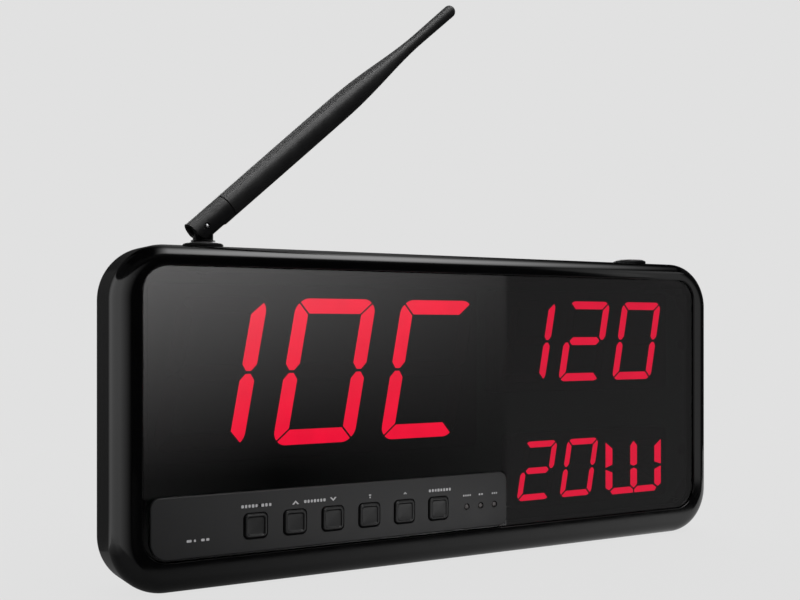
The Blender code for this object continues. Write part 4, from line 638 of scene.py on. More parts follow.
def cover_bosses():
    """Screw wells, riveted stakes for the main board, the speaker's ring and the inlet's seat."""
    bosses = bmesh.new()
    sunk = COVER_INSIDE + 0.5
    for centre in CASE_SCREW_PLACES:
        rod(bosses, centre, WELL_RADIUS + WELL_WALL, WELL_SEAT, sunk, 40)
    head_back = MAIN_BOARD_FRONT - GAP
    shoulder = MAIN_BOARD_BACK + GAP
    crown = ((0.15, 1), (0.62, 0.93), (0.9, 0.6))
    stake = [(STAKE_HEAD * wide, head_back - STAKE_HEAD_THICK * high) for wide, high in crown]
    stake += [(STAKE_HEAD, head_back - 0.2), (STAKE_HEAD, head_back), (STAKE_RADIUS, head_back)]
    stake += [(STAKE_RADIUS, shoulder), (STANDOFF_RADIUS, shoulder), (STANDOFF_RADIUS, sunk)]
    for centre in MAIN_BOARD_PLACES:
        turned(bosses, stake, backward(centre), 32)
    inner = SPEAKER_RADIUS + GAP
    outer = inner + WALL / 2
    near = COVER_INSIDE - SPEAKER_RIM
    ring = [(inner, near), (outer, near), (outer, sunk), (inner, sunk)]
    turned(bosses, ring, backward(SPEAKER_CENTRE), 72, closed=True)
    rod(bosses, INLET_CENTRE, INLET_POCKET + COVER_WALL, INLET_FLOOR - COVER_WALL, sunk, 48)
    return bosses


def cover_cuts():
    """Screw wells, the inlet's pocket, the switch's slot, keyholes, the speaker's grille and the vents."""
    cuts = bmesh.new()
    for centre in CASE_SCREW_PLACES:
        shank = CASE_SCREW["shank"] + 2 * GAP
        sunk_hole(cuts, centre, shank, WELL_RADIUS, WELL_SEAT - PAST, WELL_SEAT + WELL_FLOOR, 40)
    near = INLET_FLOOR - COVER_WALL - PAST
    sunk_hole(cuts, INLET_CENTRE, INLET_NECK + GAP, INLET_POCKET, near, INLET_FLOOR, 48)
    opened(cuts, slide_outline)
    for x in (-KEYHOLE_FROM_MIDDLE, KEYHOLE_FROM_MIDDLE):
        opened(cuts, keyhole_outline(x))
    x, z = SPEAKER_CENTRE
    for rise in centred(GRILLE["count"], GRILLE["pitch"]):
        length = 2 * sqrt(GRILLE["radius"] ** 2 - rise**2)
        opened(cuts, slot_outline(length, GRILLE["slot"], (x, z + rise)))
    for x, z in VENT_CENTRES:
        for shift in centred(VENT_COUNT, VENT_PITCH):
            opened(cuts, slot_outline(*VENT_SLOT, (x + shift, z)))
    return cuts


def rear_cover():
    rim = RIM_INSET + GAP
    back = TRAY_INSET + TRAY_TAPER
    soft = 0.2
    rings = [(back + COVER_WALL + GAP, COVER_INSIDE), (TRAY_INSET + TRAY_WALL, COVER_FRONT)]
    rings += [(rim, COVER_FRONT), (rim, SHELL_DEPTH - soft), (rim + soft, SHELL_DEPTH)]
    rings += [(TRAY_INSET + soft, SHELL_DEPTH)]
    rings += [(TRAY_INSET + 1.2 * soft, SHELL_DEPTH + 1.2 * soft), (back, DEPTH - TRAY_EDGE)]
    rings += [(back + TRAY_EDGE * (1 - c), DEPTH - TRAY_EDGE * (1 - s)) for s, c in quarter_turn(6)[1:]]
    cover = lofted("rear_cover_shell", [case_ring(*ring) for ring in rings], "cover")
    shaped(cover, cover_bosses(), "UNION")
    shaped(cover, cover_cuts())
    seat(cover, "case", "cover", "rear_cover")


# ---- window, plate, keys
def smoked_window():
    edge = 0.2
    rings = soft_edge(edge, WINDOW_RECESS) + [(0, WINDOW_BACK - edge), (edge, WINDOW_BACK)]
    made = lofted("smoked_window", [opening_ring(-GAP - inset, depth) for inset, depth in rings], "window")
    half = KEY_SIZE / 2 + KEY_COLLAR_WIDTH + 1
    left = KEY_XS[0] - half
    right = INDICATOR_XS[-1] + INDICATOR_BASE + 1
    outline = rounded(right - left, 2 * half, KEY_RADIUS, ((left + right) / 2, KEY_HEIGHT), 8)
    slot = bmesh.new()
    prism(slot, outline, WINDOW_RECESS - PAST, WINDOW_BACK + PAST)
    shaped(made, slot)
    seat(made, "case", "window", "display_window")


def plate_ring(inset, depth):
    return at_depth(cornered(PLATE_WIDTH, PLATE_HEIGHT, PLATE_RADII, PLATE_CENTRE, 16, -inset), depth)


def control_plate():
    rings = [plate_ring(0, PLATE_BACK)]
    for s, c in quarter_turn(5):
        rings.append(plate_ring(PLATE_EDGE * (1 - c), PLATE_EDGE * (1 - s) - PLATE_PROUD))
    made = lofted("plate_panel", rings, "plate")
    lip = 0.12
    hole = [(lip, -PLATE_PROUD - PAST), (lip, -PLATE_PROUD), (0, lip - PLATE_PROUD), (0, PLATE_BACK + PAST)]
    holes = bmesh.new()
    for x in KEY_XS:
        key = (KEY_SIZE, KEY_SIZE, KEY_RADIUS, (x, KEY_HEIGHT), 8)
        loft(holes, [at_depth(rounded(*key, GAP + grow), depth) for grow, depth in hole])
    for x in INDICATOR_XS:
        profile = [(INDICATOR_RADIUS + GAP + grow, depth) for grow, depth in hole]
        turned(holes, profile, backward((x, INDICATOR_HEIGHT)), 32)
    shaped(made, holes)
    seat(made, "case", "plate", "control_plate")


MARK_ROW = KEY_HEIGHT + 8.8
MARK_HEIGHT = 1.5
BAR_PITCH = 1.7
LEGENDS = ((-114.0, (8.2, 1.2, 5.4)), (-83.7, (11.2,)), (-17.6, (13.0,)))  # left end, and widths of its words
ARROWS = ((-87.7, 1.7, 0.8, 1), (-68.8, 1.7, 0.8, -1), (-30.6, 1.0, 0.6, 1))  # x, size, thickness, way up
TWO_DOTS = ((-49.6, 0.4, 1.2, 0.7), (-49.6, -0.7, 0.7, 0.8))  # x, rise above the row, width, height
LOW_MARKS = ((-137.6, 2.2), (-135.0, 0.9), (-131.4, 1.6), (-129.2, 1.4))  # x, width
LOW_MARK_DROP = 4.0
LOW_MARK_HEIGHT = 1.1
INDICATOR_LEGENDS = (5.0, 3.0, 3.6)  # widths
INDICATOR_MARK_RISE = 5.6
INDICATOR_MARK_HEIGHT = 0.9
INDICATOR_BAR_PITCH = 1.2


def bar(bm, x, z, width, height):
    """A thin printed bar on the plate."""
    printed(bm, rounded(width, height, height * 0.3, (x, z), 3))


def printed(bm, outline):
    prism(bm, outline, -PLATE_PROUD - 0.02, -PLATE_PROUD + 0.03)


def chevron(x, z, size, thick, up):
    points = [(-size, -size / 2), (-size + thick, -size / 2 - thick * 0.2), (0, size / 2 - thick * 1.1)]
    points += [(size - thick, -size / 2 - thick * 0.2), (size, -size / 2), (0, size / 2)]
    return [(x + px, z + pz) for px, pz in mirrored(points, 1, up)]


def plate_marks():
    """Plain generic marks above the keys and the indicators: bars where a legend would stand."""
    bm = bmesh.new()
    for x, widths in LEGENDS:
        for width in widths:
            count = max(2, round(width / BAR_PITCH))
            step = width / count
            for n in range(count):
                wide = step * (0.62 if n % 3 else 0.74)
                bar(bm, x + step * (n + 0.5), MARK_ROW, wide, MARK_HEIGHT * (1 if n % 2 else 0.9))
            x += width
    for x, size, thick, up in ARROWS:
        printed(bm, chevron(x, MARK_ROW, size, thick, up))
    for x, rise, width, height in TWO_DOTS:
        bar(bm, x, MARK_ROW + rise, width, height)
    for x, width in LOW_MARKS:
        bar(bm, x, KEY_HEIGHT - LOW_MARK_DROP, width, LOW_MARK_HEIGHT)
    for x, width in zip(INDICATOR_XS, INDICATOR_LEGENDS):
        count = round(width / INDICATOR_BAR_PITCH)
        step = width / count
        for shift in centred(count, step):
            z = INDICATOR_HEIGHT + INDICATOR_MARK_RISE
            bar(bm, x + shift, z, step * 0.66, INDICATOR_MARK_HEIGHT)
    seat(piece("plate_marks", bm, ["print"]), "case", None)


def push_key(index, x):
    """A dished key cap with a collar behind the plate and a stem that reaches its switch."""
    front = PLATE_BACK + GAP
    back = front + KEY_COLLAR_THICK
    collar = (KEY_SIZE + 2 * KEY_COLLAR_WIDTH, KEY_RADIUS + KEY_COLLAR_WIDTH)
    rim = KEY_SIZE - 2 * KEY_RIM
    shoulder = SWITCH_FRONT - KEY_TRAVEL - GAP
    end = SWITCH_BACK - SWITCH_FLOOR - KEY_TRAVEL - GAP
    dish = [(rim * 0.05, rim * 0.02, KEY_FACE + KEY_DISH * 1.25)]
    dish += [(rim * 0.5, rim * 0.12, KEY_FACE + KEY_DISH * 1.18)]
    for inset, curve, deep in ((3.0, 0.55, 1), (1.2, 0.65, 0.75), (0.3, 0.72, 0.2), (-0.3, 0.78, 0)):
        dish.append((rim - inset * KEY_DISH, KEY_RADIUS * curve, KEY_FACE + KEY_DISH * deep))
    for s, c in quarter_turn(6):
        inset = KEY_EDGE * (1 - s)
        dish.append((KEY_SIZE - 2 * inset, KEY_RADIUS - inset / 2, KEY_FACE + KEY_EDGE * (1 - c)))
    stem = [(KEY_SIZE, KEY_RADIUS, front), (*collar, front), (*collar, back)]
    stem += [(KEY_STEM, KEY_STEM / 5, back), (KEY_STEM, KEY_STEM / 5, shoulder)]
    stem += [(KEY_PEG, KEY_PEG / 5, shoulder), (KEY_PEG, KEY_PEG / 5, end)]
    rings = []
    for size, radius, depth in dish + stem:
        rings.append(at_depth(rounded(size, size, radius, (x, KEY_HEIGHT), 8), depth))
    made = lofted(f"key_cap_{index}", rings, "key", smooth=38)
    seat(made, f"key_{index}_body", "key", f"key_{index}")


def indicator(index, x):
    tip = -PLATE_PROUD - INDICATOR_PROUD
    flange = SWITCH_BACK - INDICATOR_FLANGE
    dome = INDICATOR_RADIUS * 0.62
    profile = [(max(0.02, INDICATOR_RADIUS * s), tip + dome * (1 - c)) for s, c in quarter_turn(8)]
    profile += [(INDICATOR_RADIUS, flange), (INDICATOR_BASE - 0.1, flange)]
    profile += [(INDICATOR_BASE, flange + 0.1), (INDICATOR_BASE, SWITCH_BACK)]
    made = spun(f"indicator_lens_{index}", profile, backward((x, INDICATOR_HEIGHT)), "lens", 32)
    seat(made, "case", "lens", f"indicator_{index}")


# ---- readouts
SEGMENT_GAP = 0.3
LARGE = {"centre": (-70.5, 94.3), "pitch": 55.4, "digit": (41.3, 66.6, 6.9), "body": (167.6, 78)}
MEDIUM = {"centre": (82.2, 107.3), "pitch": 36.5, "digit": (27.5, 42.0, 4.1), "body": (116, 52)}
SMALL = {"centre": (87, 40.6), "pitch": 27.6, "digit": (20.8, 30.2, 3.15), "body": (106, 38), "first": -36}
UNIT_PLACE = (29.5, -2.1)
UNIT_DIGIT = (39.6, 28.2, 4.7, 3.4)
LIT_DIGITS = {"1": "bc", "0": "abcdef", "C": "adef", "2": "abdeg"}
LIT_UNIT = ("right upper post", "right lower post", "left upper post", "left lower post")
LIT_UNIT += ("upper spine", "lower spine", "right foot", "left foot")


def seven_segments(width, height, stroke):
    """The outlines a to g of an upright digit: mitred and rounded corners, blunt tips at the waist."""
    side = width / 2
    top = height / 2
    half = stroke / 2
    gap = SEGMENT_GAP + SEGMENT_WALL / 2
    bend = stroke * 0.85
    blunt = half * 0.35
    waist = gap * 1.2
    shoulder = waist + half * 0.85
    reach = side - half - blunt - 2 * gap
    turn = [(bend * (1 - cos(radians(a))), bend * (1 - sin(radians(a)))) for a in (0, 11, 22, 33, 45)]
    bar_end = [(side - stroke - gap, top - stroke)]
    bar_end += [(side - rise - gap, top - run) for run, rise in reversed(turn)]
    top_bar = bar_end + [(-x, z) for x, z in reversed(bar_end)]
    post = [(side - run, top - rise - gap) for run, rise in turn]
    post += [(side - stroke, top - stroke - gap), (side - stroke, shoulder), (side - half - blunt, waist)]
    post += [(side - half + blunt, waist), (side, shoulder)]
    tip = [(reach - half * 0.9, -half), (reach, -blunt / 2), (reach, blunt / 2), (reach - half * 0.9, half)]
    outlines = {"a": top_bar, "b": post, "c": mirrored(post, 1, -1), "d": mirrored(top_bar, 1, -1)}
    outlines |= {"e": mirrored(post, -1, -1), "f": mirrored(post, -1, 1)}
    return outlines | {"g": tip + [(-x, -z) for x, z in tip]}


def unit_segments(width, height, post, thick):
    """The sixteen outlines of the upright unit symbol: posts, spine, bars, arms and diagonals."""
    side = width / 2
    top = height / 2
    half = post / 2
    gap = SEGMENT_GAP + SEGMENT_WALL / 2
    inner = side - post
    slope = 0.72
    notch = gap + post * 0.17
    low_notch = -gap - post * 0.2
    end = side - 2.5 * gap
    upper = [(half, notch), (half, top - half), (0, top), (-half, top - half), (-half, notch), (0, gap)]
    lower = [(0, -gap), (-half, low_notch), (-half, thick * 1.3 - top), (0, thick * 0.72 - top)]
    lower += [(half, thick * 1.3 - top), (half, low_notch)]
    upper_post = [(side, top), (inner, top - post * slope), (inner, gap + post * 0.3), (side, gap)]
    lower_post = [(side, -gap), (inner, -gap - post * 0.35), (inner, thick * 1.15 - top)]
    lower_post += [(side - half, thick * 0.7 - top), (side, thick * 1.1 - top)]
    foot = [(inner - post * 0.25, thick - top), (half + gap * 0.4, thick - top)]
    foot += [(gap * 0.75, thick * 0.5 - top), (gap * 0.75, -top)]
    foot += [(inner, -top), (side - post * 0.69, thick * 0.5 - top)]
    head = [(end, top), (2 * gap, top), (2 * gap + thick, top - thick), (end - thick / slope, top - thick)]
    x0, x1, rise = half + 2 * gap, inner - 2 * gap, thick / 2
    arm = [(x1, 0), (x1 - rise, rise), (x0 + rise, rise), (x0, 0), (x0 + rise, -rise), (x1 - rise, -rise)]
    x0, x1, z0, z1 = half + 2.2 * gap, inner - 2.2 * gap, rise + 2.2 * gap, top - thick - 2.2 * gap
    diagonal = [(x0, z0), (x0 + half, z0), (x1, z1 - half), (x1, z1), (x1 - half, z1), (x0, z0 + half)]
    outlines = {"upper spine": upper, "lower spine": lower}
    right = {"upper post": upper_post, "lower post": lower_post, "foot": foot, "head": head, "arm": arm}
    right["upper diagonal"] = diagonal
    for across, hand in ((1, "right"), (-1, "left")):
        for name, outline in right.items():
            outlines[f"{hand} {name}"] = mirrored(outline, across, 1)
        outlines[f"{hand} lower diagonal"] = mirrored(diagonal, across, -1)
    return outlines


def nudged_corners(outline, radius, steps=3):
    """Takes the sharpness off an outline's corners, as a moulding tool does."""
    points = []
    corners = [Vector(point) for point in outline]
    for before, corner, after in zip([corners[-1], *corners], corners, corners[1:] + corners[:1]):
        start = corner + (before - corner).normalized() * min(radius, (corner - before).length * 0.45)
        end = corner + (after - corner).normalized() * min(radius, (after - corner).length * 0.45)
        for share in spaced(0, 1, steps):
            points.append(tuple(start.lerp(corner, share).lerp(corner.lerp(end, share), share)))
    return points


def grown(outline, distance):
    """Offsets a convex counter-clockwise outline outward."""
    lines = []
    for (x0, z0), (x1, z1) in zip(outline, outline[1:] + outline[:1]):
        length = hypot(x1 - x0, z1 - z0)
        out = ((z1 - z0) / length * distance, (x0 - x1) / length * distance)
        lines.append(((x0 + out[0], z0 + out[1]), (x1 - x0, z1 - z0)))
    corners = []
    for (start, along), (other, across) in zip([lines[-1], *lines[:-1]], lines):
        turn = along[0] * across[1] - along[1] * across[0]
        gap = (other[0] - start[0], other[1] - start[1])
        share = (gap[0] * across[1] - gap[1] * across[0]) / turn
        corners.append((start[0] + along[0] * share, start[1] + along[1] * share))
    return corners


def scaled(outline, shrink):
    """Shrinks an outline towards its middle; shrink(distance) is the share that a point keeps."""
    x, z = (sum(values) / len(outline) for values in zip(*outline))
    shares = [shrink(hypot(px - x, pz - z)) for px, pz in outline]
    return [(x + (px - x) * share, z + (pz - z) * share) for (px, pz), share in zip(outline, shares)]


def placed(outline, middle, slant):
    return [(middle[0] + x + z * tan(slant), middle[1] + z) for x, z in outline]


def digit_row(size, text):
    """The segments of a row of slanted digits, as (outline, middle of the digit, slant, lit)."""
    first = size.get("first", -size["pitch"] * (len(text) - 1) / 2)
    row = []
    for n, shown in enumerate(text):
        middle = (size["centre"][0] + first + size["pitch"] * n, size["centre"][1])
        for letter, outline in seven_segments(*size["digit"]).items():
            row.append((outline, middle, SLANT, letter in LIT_DIGITS[shown]))
    return row


def unit_row():
    middle = (SMALL["centre"][0] + UNIT_PLACE[0], SMALL["centre"][1] + UNIT_PLACE[1])
    return [(outline, middle, 0.0, part in LIT_UNIT) for part, outline in unit_segments(*UNIT_DIGIT).items()]


def body_outline(size, wall):
    """A rectangle inside a readout's body, a wall's thickness from its sides."""
    return box_outline(size["centre"], size["body"][0] / 2 - wall, size["body"][1] / 2 - wall)


def segments(name, size, row, lit):
    """Resin cast in a slab with one raised segment to each well; the lit ones glow at the front."""
    near = READOUT_FRONT + SEGMENT_SUNK
    soft = 0.12
    slab = RESIN_FRONT + GAP
    bm = bmesh.new()
    prism(bm, body_outline(size, RESIN_WALL + GAP), slab, READOUT_BACK)
    for outline, middle, slant, shines in row:
        outline = nudged_corners(outline, 0.35)
        small = scaled(outline, lambda away: 1 - soft / away)
        rings = [(outline, slab + 0.4), (outline, near + soft), (small, near)]
        faces = loft(bm, [at_depth(placed(ring, middle, slant), depth) for ring, depth in rings])
        if shines:
            for face in faces[len(outline) : 2 * len(outline)] + faces[-1:]:
                face.material_index = 1
    made = piece(name + "_resin", bm, ["segments", lit], smooth=20)
    seat(made, "case", "segments", name + "_segments")


def reflector(name, size, row):
    """The black block round the segments, with a rounded front edge and a well for each."""
    body = (*size["body"], READOUT_RADIUS, size["centre"], 6)
    rings = soft_edge(0.4, READOUT_FRONT) + [(0, READOUT_BACK)]
    rings = [at_depth(rounded(*body, -inset), depth) for inset, depth in rings]
    made = lofted(name + "_block", rings, "reflector")
    pocket = bmesh.new()
    prism(pocket, body_outline(size, RESIN_WALL), RESIN_FRONT, READOUT_BACK + PAST)
    shaped(made, pocket)
    wells = bmesh.new()
    for outline, middle, slant, _ in row:
        well = placed(grown(outline, SEGMENT_GAP), middle, slant)
        prism(wells, well, READOUT_FRONT - PAST, RESIN_FRONT + 0.5)
    shaped(made, wells)
    seat(made, "case", "reflector", name + "_reflector")


def readouts():
    rows = [("large_readout", LARGE, digit_row(LARGE, "10C"), "lit_large")]
    rows += [("upper_readout", MEDIUM, digit_row(MEDIUM, "120"), "lit_small")]
    rows += [("lower_readout", SMALL, digit_row(SMALL, "20") + unit_row(), "lit_small")]
    for name, size, row, lit in rows:
        segments(name, size, row, lit)
        reflector(name, size, row)


# ---- screws, inlet and switch
def screw(name, node, centre, size, seat_depth, cross_depth):
    """A pan head with a cross recess, facing the back, and a plain shank."""
    head, thick, shank, length = size.values()
    head_back = seat_depth + thick
    soft = 0.15
    profile = [(shank * 0.4, seat_depth - length), (shank, seat_depth - length + shank), (shank, seat_depth)]
    profile += [(head - soft, seat_depth), (head, seat_depth + soft)]
    profile += [(head * (0.5 + 0.5 * c), head_back - thick * 0.45 * (1 - s)) for s, c in quarter_turn(6)]
    made = spun(name, profile, backward(centre), "steel", 32)
    x, z = centre
    arm, wide = head * 0.52, head * 0.15
    outline, bottom = [], []
    for across, up in ((1, 0), (0, 1), (-1, 0), (0, -1)):
        for a, b in ((arm, -wide), (arm, wide), (wide, wide)):
            px, pz = a * across - b * up, a * up + b * across
            outline.append((x + px, z + pz))
            bottom.append((x + px * 0.55, z + pz * 0.55))
    cross = bmesh.new()
    loft(cross, [at_depth(bottom, head_back - cross_depth), at_depth(outline, head_back + 0.2)])
    shaped(made, cross)
    seat(made, "case", "steel", node)


def screws():
    kinds = [("cover_screw", "case_screw", CASE_SCREW_PLACES, CASE_SCREW, WELL_SEAT + WELL_FLOOR + GAP, 1.3)]
    kinds += [("panel_screw", "board_screw", BOARD_POST_PLACES, BOARD_SCREW, BOARD_BACK + GAP, 1.0)]
    for name, node, places, size, seat_depth, cross_depth in kinds:
        for n, centre in enumerate(places, 1):
            screw(f"{name}_{n}", f"{node}_{n}", centre, size, seat_depth, cross_depth)


def power_inlet():
    """A threaded barrel with a round socket and a centre pin."""
    shoulder = INLET_FLOOR - COVER_WALL - GAP
    floor = shoulder - INLET_BODY_DEPTH / 2
    rear = DEPTH - GAP
    lip = 0.25
    thread = 0.1
    root = INLET_NECK - thread
    profile = [(INLET_BODY, shoulder - INLET_BODY_DEPTH), (INLET_BODY, shoulder), (INLET_NECK, shoulder)]
    for n in range(8):
        low = INLET_FLOOR + 2 * thread * n
        profile += [(INLET_NECK, low), (root, low + thread)]
    profile += [(root, rear - lip), (root - lip, rear), (INLET_SOCKET + lip, rear)]
    profile += [(INLET_SOCKET, rear - lip), (INLET_SOCKET, floor), (INLET_PIN, floor)]
    profile += [(INLET_PIN, rear - 1.5 * INLET_PIN), (INLET_PIN * 0.7, rear - INLET_PIN)]
    made = spun("inlet_socket", profile, backward(INLET_CENTRE), "black_moulding", 48)
    seat(made, "case", "black_moulding", "power_inlet")


def inlet_nut():
    near = INLET_FLOOR + GAP
    far = near + INLET_NUT_THICK
    radius = INLET_NUT_FLATS / 2
    outline = arc(INLET_CENTRE, INLET_NUT_FLATS / sqrt(3), 0, 300, 5)
    nut = lofted("inlet_nut", [at_depth(outline, near), at_depth(outline, far)], "steel")
    crown, bore = bmesh.new(), bmesh.new()
    profile = [(radius * 1.2, near - 0.1), (radius * 1.2, far - 0.5), (radius * 0.97, far + 0.02)]
    turned(crown, profile, backward(INLET_CENTRE), 48)
    shaped(nut, crown, "INTERSECT")
    rod(bore, INLET_CENTRE, INLET_NECK + GAP, near - PAST, far + PAST, 48)
    shaped(nut, bore)
    seat(nut, "case", "steel", "power_inlet_nut")


def switch_knob():
    """The slider: a base inside the cover and a ribbed knob in its slot."""
    x, z = SLIDE_CENTRE
    x -= SLIDE_THROW / 2
    base = COVER_INSIDE - SLIDE_BODY_DEPTH * 0.6
    shoulder = base + SLIDE_BASE[2]
    rear = DEPTH - GAP
    rings = []
    for size, depth, inset in (
        (SLIDE_BASE, base, 0),
        (SLIDE_BASE, shoulder, 0),
        (SLIDE_KNOB, shoulder, 0),
        (SLIDE_KNOB, rear - 0.25, 0),
        (SLIDE_KNOB, rear - 0.07, 0.08),
        (SLIDE_KNOB, rear, 0.25),
    ):
        outline = rounded(size[0] - 2 * inset, size[1] - 2 * inset, 0.4 - inset * 0.6, (x, z), 6)
        rings.append(at_depth(outline, depth))
    knob = lofted("switch_knob", rings, "black_moulding")
    grooves = bmesh.new()
    wide, tall = 0.22, 3
    for shift in centred(4, 0.95):
        bottom = at_depth(box_outline((x + shift, z), wide * 0.3, tall), rear - 0.45)
        loft(grooves, [bottom, at_depth(box_outline((x + shift, z), wide, tall), rear + 0.2)])
    shaped(knob, grooves)
    seat(knob, "switch_slider", "black_moulding", "power_switch_knob")


# ---- aerial
def top_flange(radius_top, cone):
    """The profile of a rounded flange on the case's top, up to the end of its cone."""
    lip = FLANGE_FOOT + FLANGE_LIP
    edge = 0.12
    soft = FLANGE_LIP * 0.35
    points = [(BARREL_RADIUS, FLANGE_FOOT), (FLANGE_RADIUS - edge, FLANGE_FOOT)]
    points += [(FLANGE_RADIUS, FLANGE_FOOT + edge)]
    points += [(FLANGE_RADIUS - soft * (1 - c), lip - soft * (1 - s)) for s, c in quarter_turn(5)]
    return points + [(radius_top, lip + cone)]


def aerial_bushing():
    threads = 9
    deep = 0.3
    pitch = (BARREL_LENGTH - 2 * deep) / threads
    root = BARREL_RADIUS - deep
    profile = [(BARREL_BORE, BARREL_END), (root, BARREL_END)]
    for n in range(threads):
        low = BARREL_END + deep + pitch * n
        profile += [(root, low), (BARREL_RADIUS, low + pitch / 2)]
    profile += [(root, HEIGHT - deep)] + top_flange(NECK_RADIUS, FLANGE_CONE) + [(BARREL_BORE, FLANGE_TOP)]
    made = spun("bushing", profile, upright(AERIAL_X, AERIAL_Y), "satin", 72, closed=True)
    seat(made, "case", "satin", "aerial_bushing")


def blanking_plug():
    foot = HEIGHT - WALL - GAP
    bead = 0.8
    soft = 0.15
    profile = [(BARREL_RADIUS - bead, foot - 4 * bead), (PLUG_BEAD - 2 * soft, foot - 1.5 * bead)]
    profile += [(PLUG_BEAD, foot - bead), (PLUG_BEAD, foot - soft), (PLUG_BEAD - soft, foot)]
    profile += [(BARREL_RADIUS, foot)] + top_flange(PLUG_TOP_RADIUS, PLUG_CONE)
    made = spun("hole_plug", profile, upright(-AERIAL_X, AERIAL_Y), "satin", 72)
    seat(made, "case", "satin", "blanking_plug")


def swivel_neck():
    """A shaft with a groove for its clip, a disc, and a flat tongue with the hinge pin's hole."""
    shaft = BARREL_BORE - GAP
    groove_top = BARREL_END - GAP
    groove_foot = groove_top - CLIP_THICK - 2 * GAP
    edge = 0.1
    profile = [(shaft * 0.8, groove_foot - CLIP_THICK * 2), (shaft, groove_foot - CLIP_THICK * 1.4)]
    profile += [(shaft, groove_foot), (GROOVE_RADIUS, groove_foot), (GROOVE_RADIUS, groove_top)]
    profile += [(shaft, groove_top), (shaft, NECK_FOOT), (NECK_RADIUS - edge, NECK_FOOT)]
    profile += [(NECK_RADIUS, NECK_FOOT + edge), (NECK_RADIUS - NECK_SLOPE, NECK_TOP)]
    neck = spun("swivel_neck", profile, upright(AERIAL_X, AERIAL_Y), "satin", 64)
    foot = NECK_TOP - NECK_DISC * 0.4
    near = AERIAL_DEPTH - TONGUE_THICK / 2
    far = near + TONGUE_THICK
    rings = []
    for inset, depth in soft_edge(0.35, near):
        half = TONGUE_WIDTH / 2 - inset
        outline = arc((AERIAL_X, PIVOT_HEIGHT), half, 0, 180, 40)
        rings.append((outline + [(AERIAL_X - half, foot), (AERIAL_X + half, foot)], depth))
    rings += [(outline, near + far - depth) for outline, depth in reversed(rings)]
    tongue = bmesh.new()
    loft(tongue, [at_depth(outline, depth) for outline, depth in rings])
    shaped(neck, tongue, "UNION")
    hole = bmesh.new()
    rod(hole, (AERIAL_X, PIVOT_HEIGHT), PIN_RADIUS + GAP, near - PAST, far + PAST, 32)
    shaped(neck, hole)
    seat(neck, "aerial_swivel", "satin", "aerial_neck")


def leaned(made):
    """Aerial pieces are made upright about the hinge, then leaned to rest."""
    hinge = Matrix.Translation(metres((AERIAL_X, AERIAL_Y, PIVOT_HEIGHT)))
    made.data.transform(hinge @ Matrix.Rotation(LEAN, 4, "Y"))
    return made


def about_hinge(a, b, distance):
    return (a, b, distance)


def side_extrusion(bm, outline, half):
    loft(bm, [[(x, side * half, z) for x, z in outline] for side in (-1, 1)])


def aerial_sleeve():
    """A round sleeve with a flat side, forked over the tongue and bored for the whip's spigot."""
    ends = [(SLEEVE_RADIUS, -SLEEVE_HEEL), (SLEEVE_RADIUS, SLEEVE_LENGTH)]
    sleeve = spun("fork_sleeve", ends, about_hinge, "satin", 96)
    wide = SLEEVE_RADIUS + PAST
    past = SLEEVE_LENGTH + PAST
    toe = degrees(asin(SLEEVE_FLAT / SLEEVE_HEEL))
    ramp = FORK_DEPTH + (SLEEVE_RADIUS - SLEEVE_FLAT)
    outline = [(-wide, past), (-wide, -SLEEVE_HEEL)] + arc((0, 0), SLEEVE_HEEL, -90, toe - 90, 24)
    outline += [(SLEEVE_FLAT, ramp), (wide, ramp + 2 * (wide - SLEEVE_FLAT)), (wide, past)]
    side, cuts, hole = bmesh.new(), bmesh.new(), bmesh.new()
    side_extrusion(side, outline, wide)
    shaped(sleeve, side, "INTERSECT")
    wide += PAST
    foot = -SLEEVE_HEEL - 2 * PAST
    web = TONGUE_WIDTH / 2 + GAP
    fork = [(wide, FORK_DEPTH), (-web, FORK_DEPTH), (-web, foot), (wide, foot)]
    side_extrusion(cuts, fork, TONGUE_THICK / 2 + GAP)
    bore = SPIGOT_RADIUS + GAP
    turned(cuts, [(bore, SLEEVE_LENGTH - SPIGOT_LENGTH - GAP), (bore, past)], about_hinge, 48)
    shaped(sleeve, cuts)
    side_extrusion(hole, circle((0, 0), PIN_RADIUS + GAP, 32), wide)
    shaped(sleeve, hole)
    softened(sleeve, 0.3, 3, 38)
    seat(leaned(sleeve), "aerial_arm", "satin", "aerial_sleeve")


def hinge_pin():
    dome = ((0.15, 1.0), (0.45, 0.99), (0.75, 0.96), (0.93, 0.92), (1.0, 0.87))  # shares of radius and reach
    rings = []
    for radius, reach in [(radius, -reach) for radius, reach in dome] + list(reversed(dome)):
        outline = circle((0, 0), PIN_RADIUS * radius, 32)
        rings.append([(x, reach * SLEEVE_RADIUS, z) for x, z in outline])
    seat(leaned(lofted("fork_pin", rings, "steel")), "aerial_arm", "steel", "aerial_hinge_pin")


